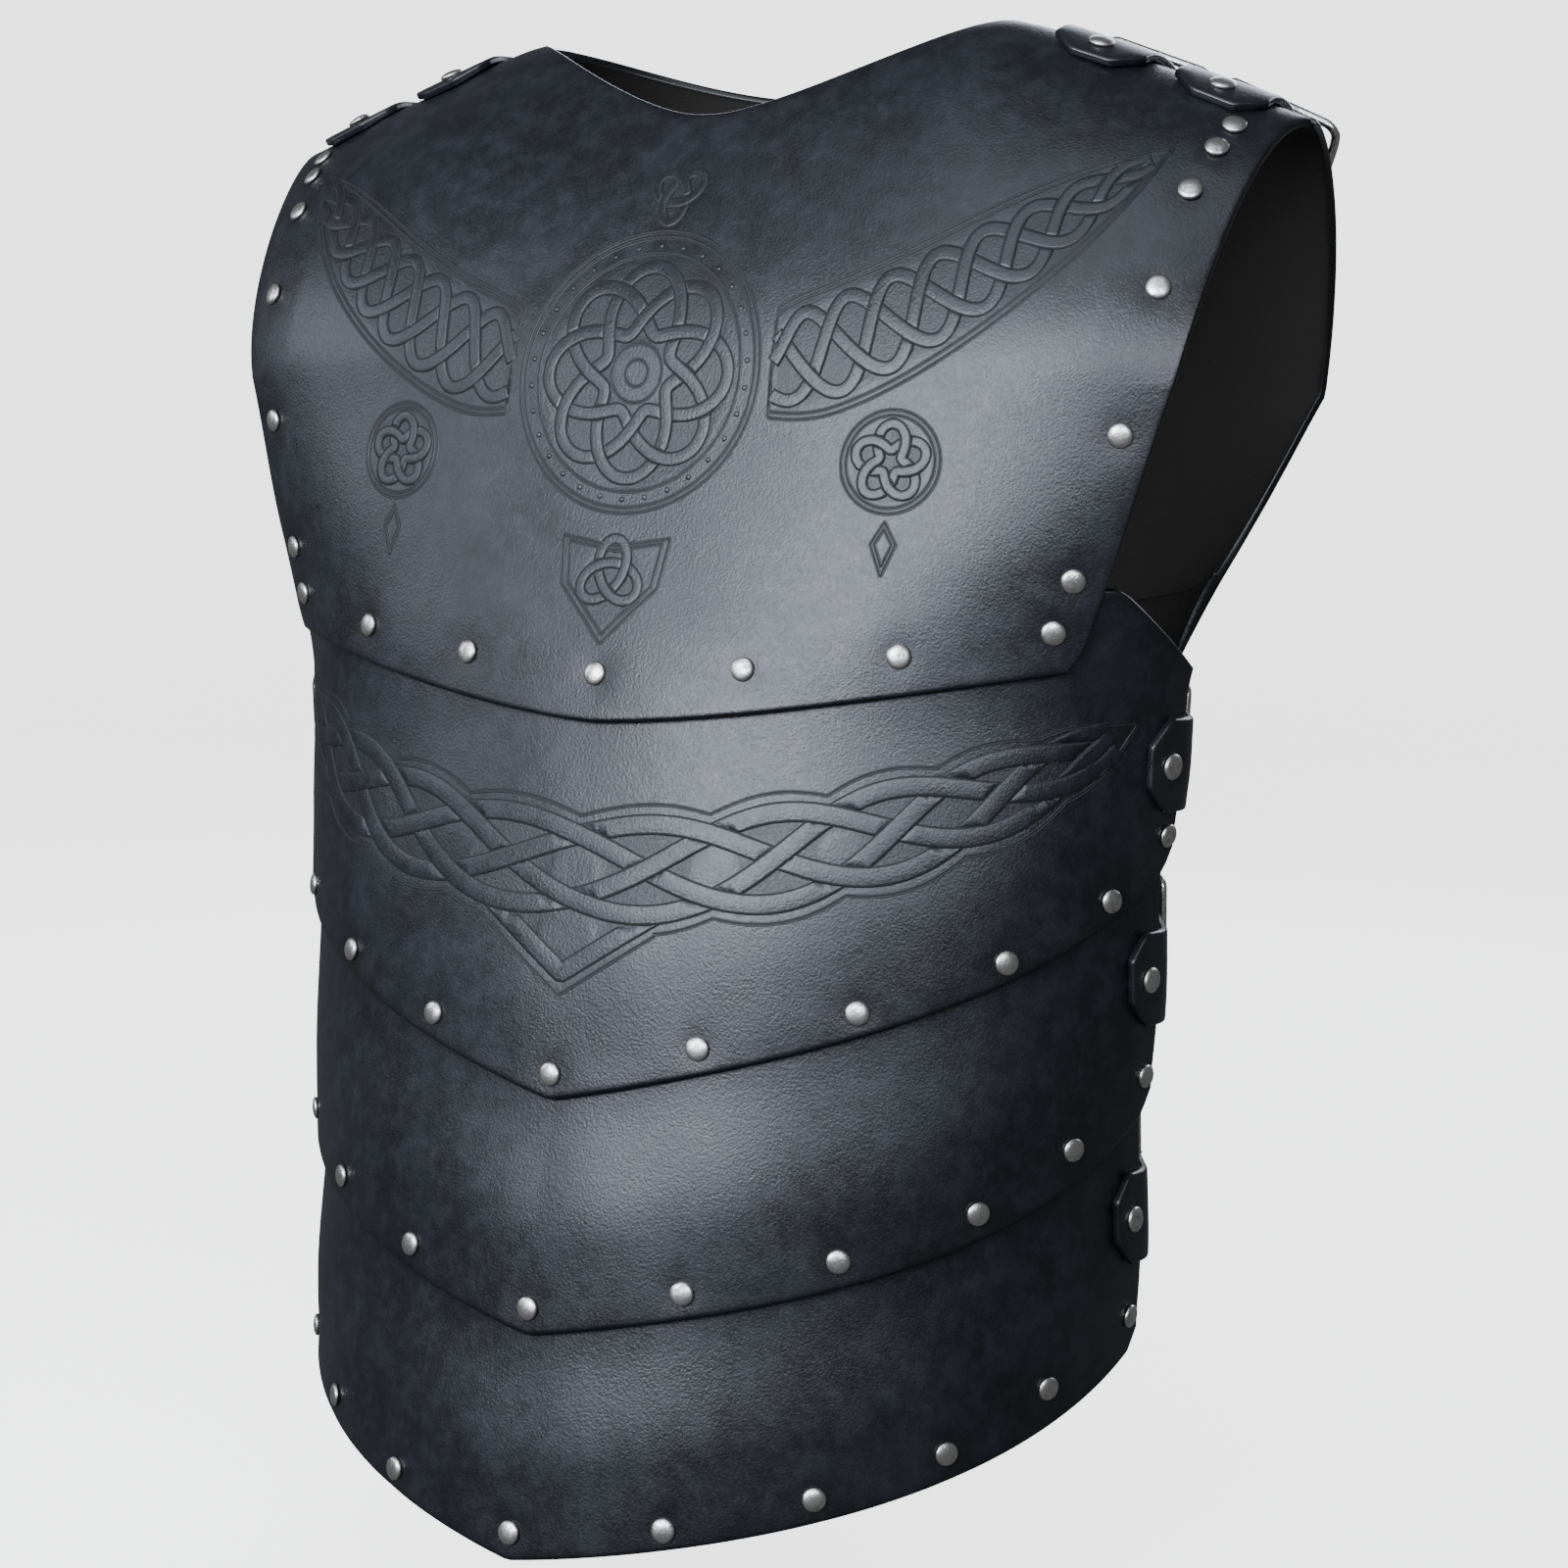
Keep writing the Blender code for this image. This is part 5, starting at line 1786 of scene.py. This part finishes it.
class Stage(bpy.types.Operator):
    """Set the pale floor, the soft lights and the camera"""
    bl_idname = "chest_armour.stage"
    bl_label = "Stage"

    def execute(self, context):
        look, scene = context.scene.armour_stage, context.scene
        low, high = (Vector(corner) for corner in CAD_BOX)
        middle = (low + high) / 2
        self.backdrop(look, low.z - FLOOR_BELOW)
        self.camera(look, scene, middle)
        for lamp in LAMPS:
            self.light(scene, lamp, getattr(look, lamp.name), middle)
        world = bpy.data.worlds.new("soft_sky")
        scene.world = world
        world.use_nodes = True
        sky = world.node_tree.nodes["Background"]
        sky.inputs["Color"].default_value = SKY_COLOUR
        sky.inputs["Strength"].default_value = look.sky
        return {"FINISHED"}

    def backdrop(self, look, level):
        """Round floor that curves up into a wall: a quarter-round profile, turned."""
        bend = np.linspace(0, math.pi / 2, 16)
        reach = np.concatenate([[0.02, FLOOR_REACH / 2],
                                FLOOR_REACH + FLOOR_BEND * np.sin(bend),
                                [FLOOR_REACH + FLOOR_BEND]])[:, None]
        rise = np.concatenate([[0.0, 0.0], FLOOR_BEND - FLOOR_BEND * np.cos(bend),
                               [WALL_TOP]])[:, None]
        turn = np.linspace(0, 2 * math.pi, 96, endpoint=False)[None]
        points = np.stack([reach * np.sin(turn), -reach * np.cos(turn),
                           level + rise + 0 * turn], -1).reshape(-1, 3)
        count = reach.size * turn.size
        first = np.arange(turn.size)
        middle = np.stack([np.roll(first, -1), first, np.full(turn.size, count)], 1)
        floor = make_object("floor", np.concatenate([points, [[0.0, 0.0, level]]]),
                            [grid_faces(reach.size, turn.size, wrap=True), middle])
        paint = Paint("pale_floor")
        tone = paint.noise(scale=0.7, detail=1.0).clamp(0.2, 0.8)
        floor.data.materials.append(paint.done(
            Base_Color=(*look.floor_colour, 1.0), Roughness=0.9, Emission_Strength=2.6,
            Emission_Color=paint.mix(tone, (0.97, 0.97, 0.97), (1.0, 1.0, 1.0))))
        floor.visible_glossy = floor.visible_diffuse = False

    def camera(self, look, scene, middle):
        """Camera on a sphere about the aim, by its azimuth, elevation and roll."""
        data = bpy.data.cameras.new("camera")
        data.sensor_width, data.lens = 36.0, look.lens
        camera = bpy.data.objects.new("camera", data)
        scene.collection.objects.link(camera)
        back = self.direction(look.azimuth, look.elevation)
        aim = middle + Vector(look.aim)
        turn = back.to_track_quat("Z", "Y").to_matrix().to_4x4()
        camera.matrix_world = (Matrix.Translation(aim + back * look.distance) @ turn
                               @ Matrix.Rotation(look.roll, 4, "Z"))
        scene.camera = camera

    @staticmethod
    def direction(azimuth, elevation):
        """Unit vector: azimuth from the front towards the wearer's left, then up."""
        return Vector((math.cos(elevation) * math.sin(azimuth),
                       -math.cos(elevation) * math.cos(azimuth), math.sin(elevation)))

    def light(self, scene, lamp, power, middle):
        """Area light that faces the middle from its distance and angles."""
        data = bpy.data.lights.new(lamp.name, "AREA")
        data.shape, data.size, data.size_y = "RECTANGLE", lamp.width, lamp.height
        data.energy, data.color = power, LAMP_COLOUR
        light = bpy.data.objects.new(lamp.name, data)
        scene.collection.objects.link(light)
        way = self.direction(math.radians(lamp.azimuth), math.radians(lamp.elevation))
        light.matrix_world = (Matrix.Translation(middle + way * lamp.distance)
                              @ way.to_track_quat("Z", "Y").to_matrix().to_4x4())


class ArmourPanel(bpy.types.Panel):
    """Lists the armour's settings and its build steps"""
    bl_idname = "VIEW3D_PT_chest_armour"
    bl_label = "Chest Armour"
    bl_space_type = "VIEW_3D"
    bl_region_type = "UI"
    bl_category = "Chest Armour"

    def draw(self, context):
        for group in ("armour_leather", "armour_tooling", "armour_hardware",
                      "armour_stage"):
            settings = getattr(context.scene, group)
            column = self.layout.column(align=True)
            for key in settings.bl_rna.properties.keys():
                if key not in ("rna_type", "name"):
                    column.prop(settings, key)
        for step in STEPS:
            self.layout.operator(step.bl_idname)


GROUPS = {"armour_leather": LeatherLook, "armour_tooling": ToolingSize,
          "armour_hardware": HardwareSize, "armour_stage": StageLook}
STEPS = (FrontPlates, BackPlates, ChestTooling, BandTooling, PlateCaps, Straps,
         StrapMetal, Stage)


def register():
    for group in (*GROUPS.values(), *STEPS, ArmourPanel):
        bpy.utils.register_class(group)
    for key, group in GROUPS.items():
        setattr(bpy.types.Scene, key, PointerProperty(type=group))


def unregister():
    for key in GROUPS:
        delattr(bpy.types.Scene, key)
    for group in reversed((*GROUPS.values(), *STEPS, ArmourPanel)):
        bpy.utils.unregister_class(group)


def main():
    register()
    for step in STEPS:
        group, name = step.bl_idname.split(".")
        getattr(getattr(bpy.ops, group), name)()


if __name__ == "__main__":
    main()
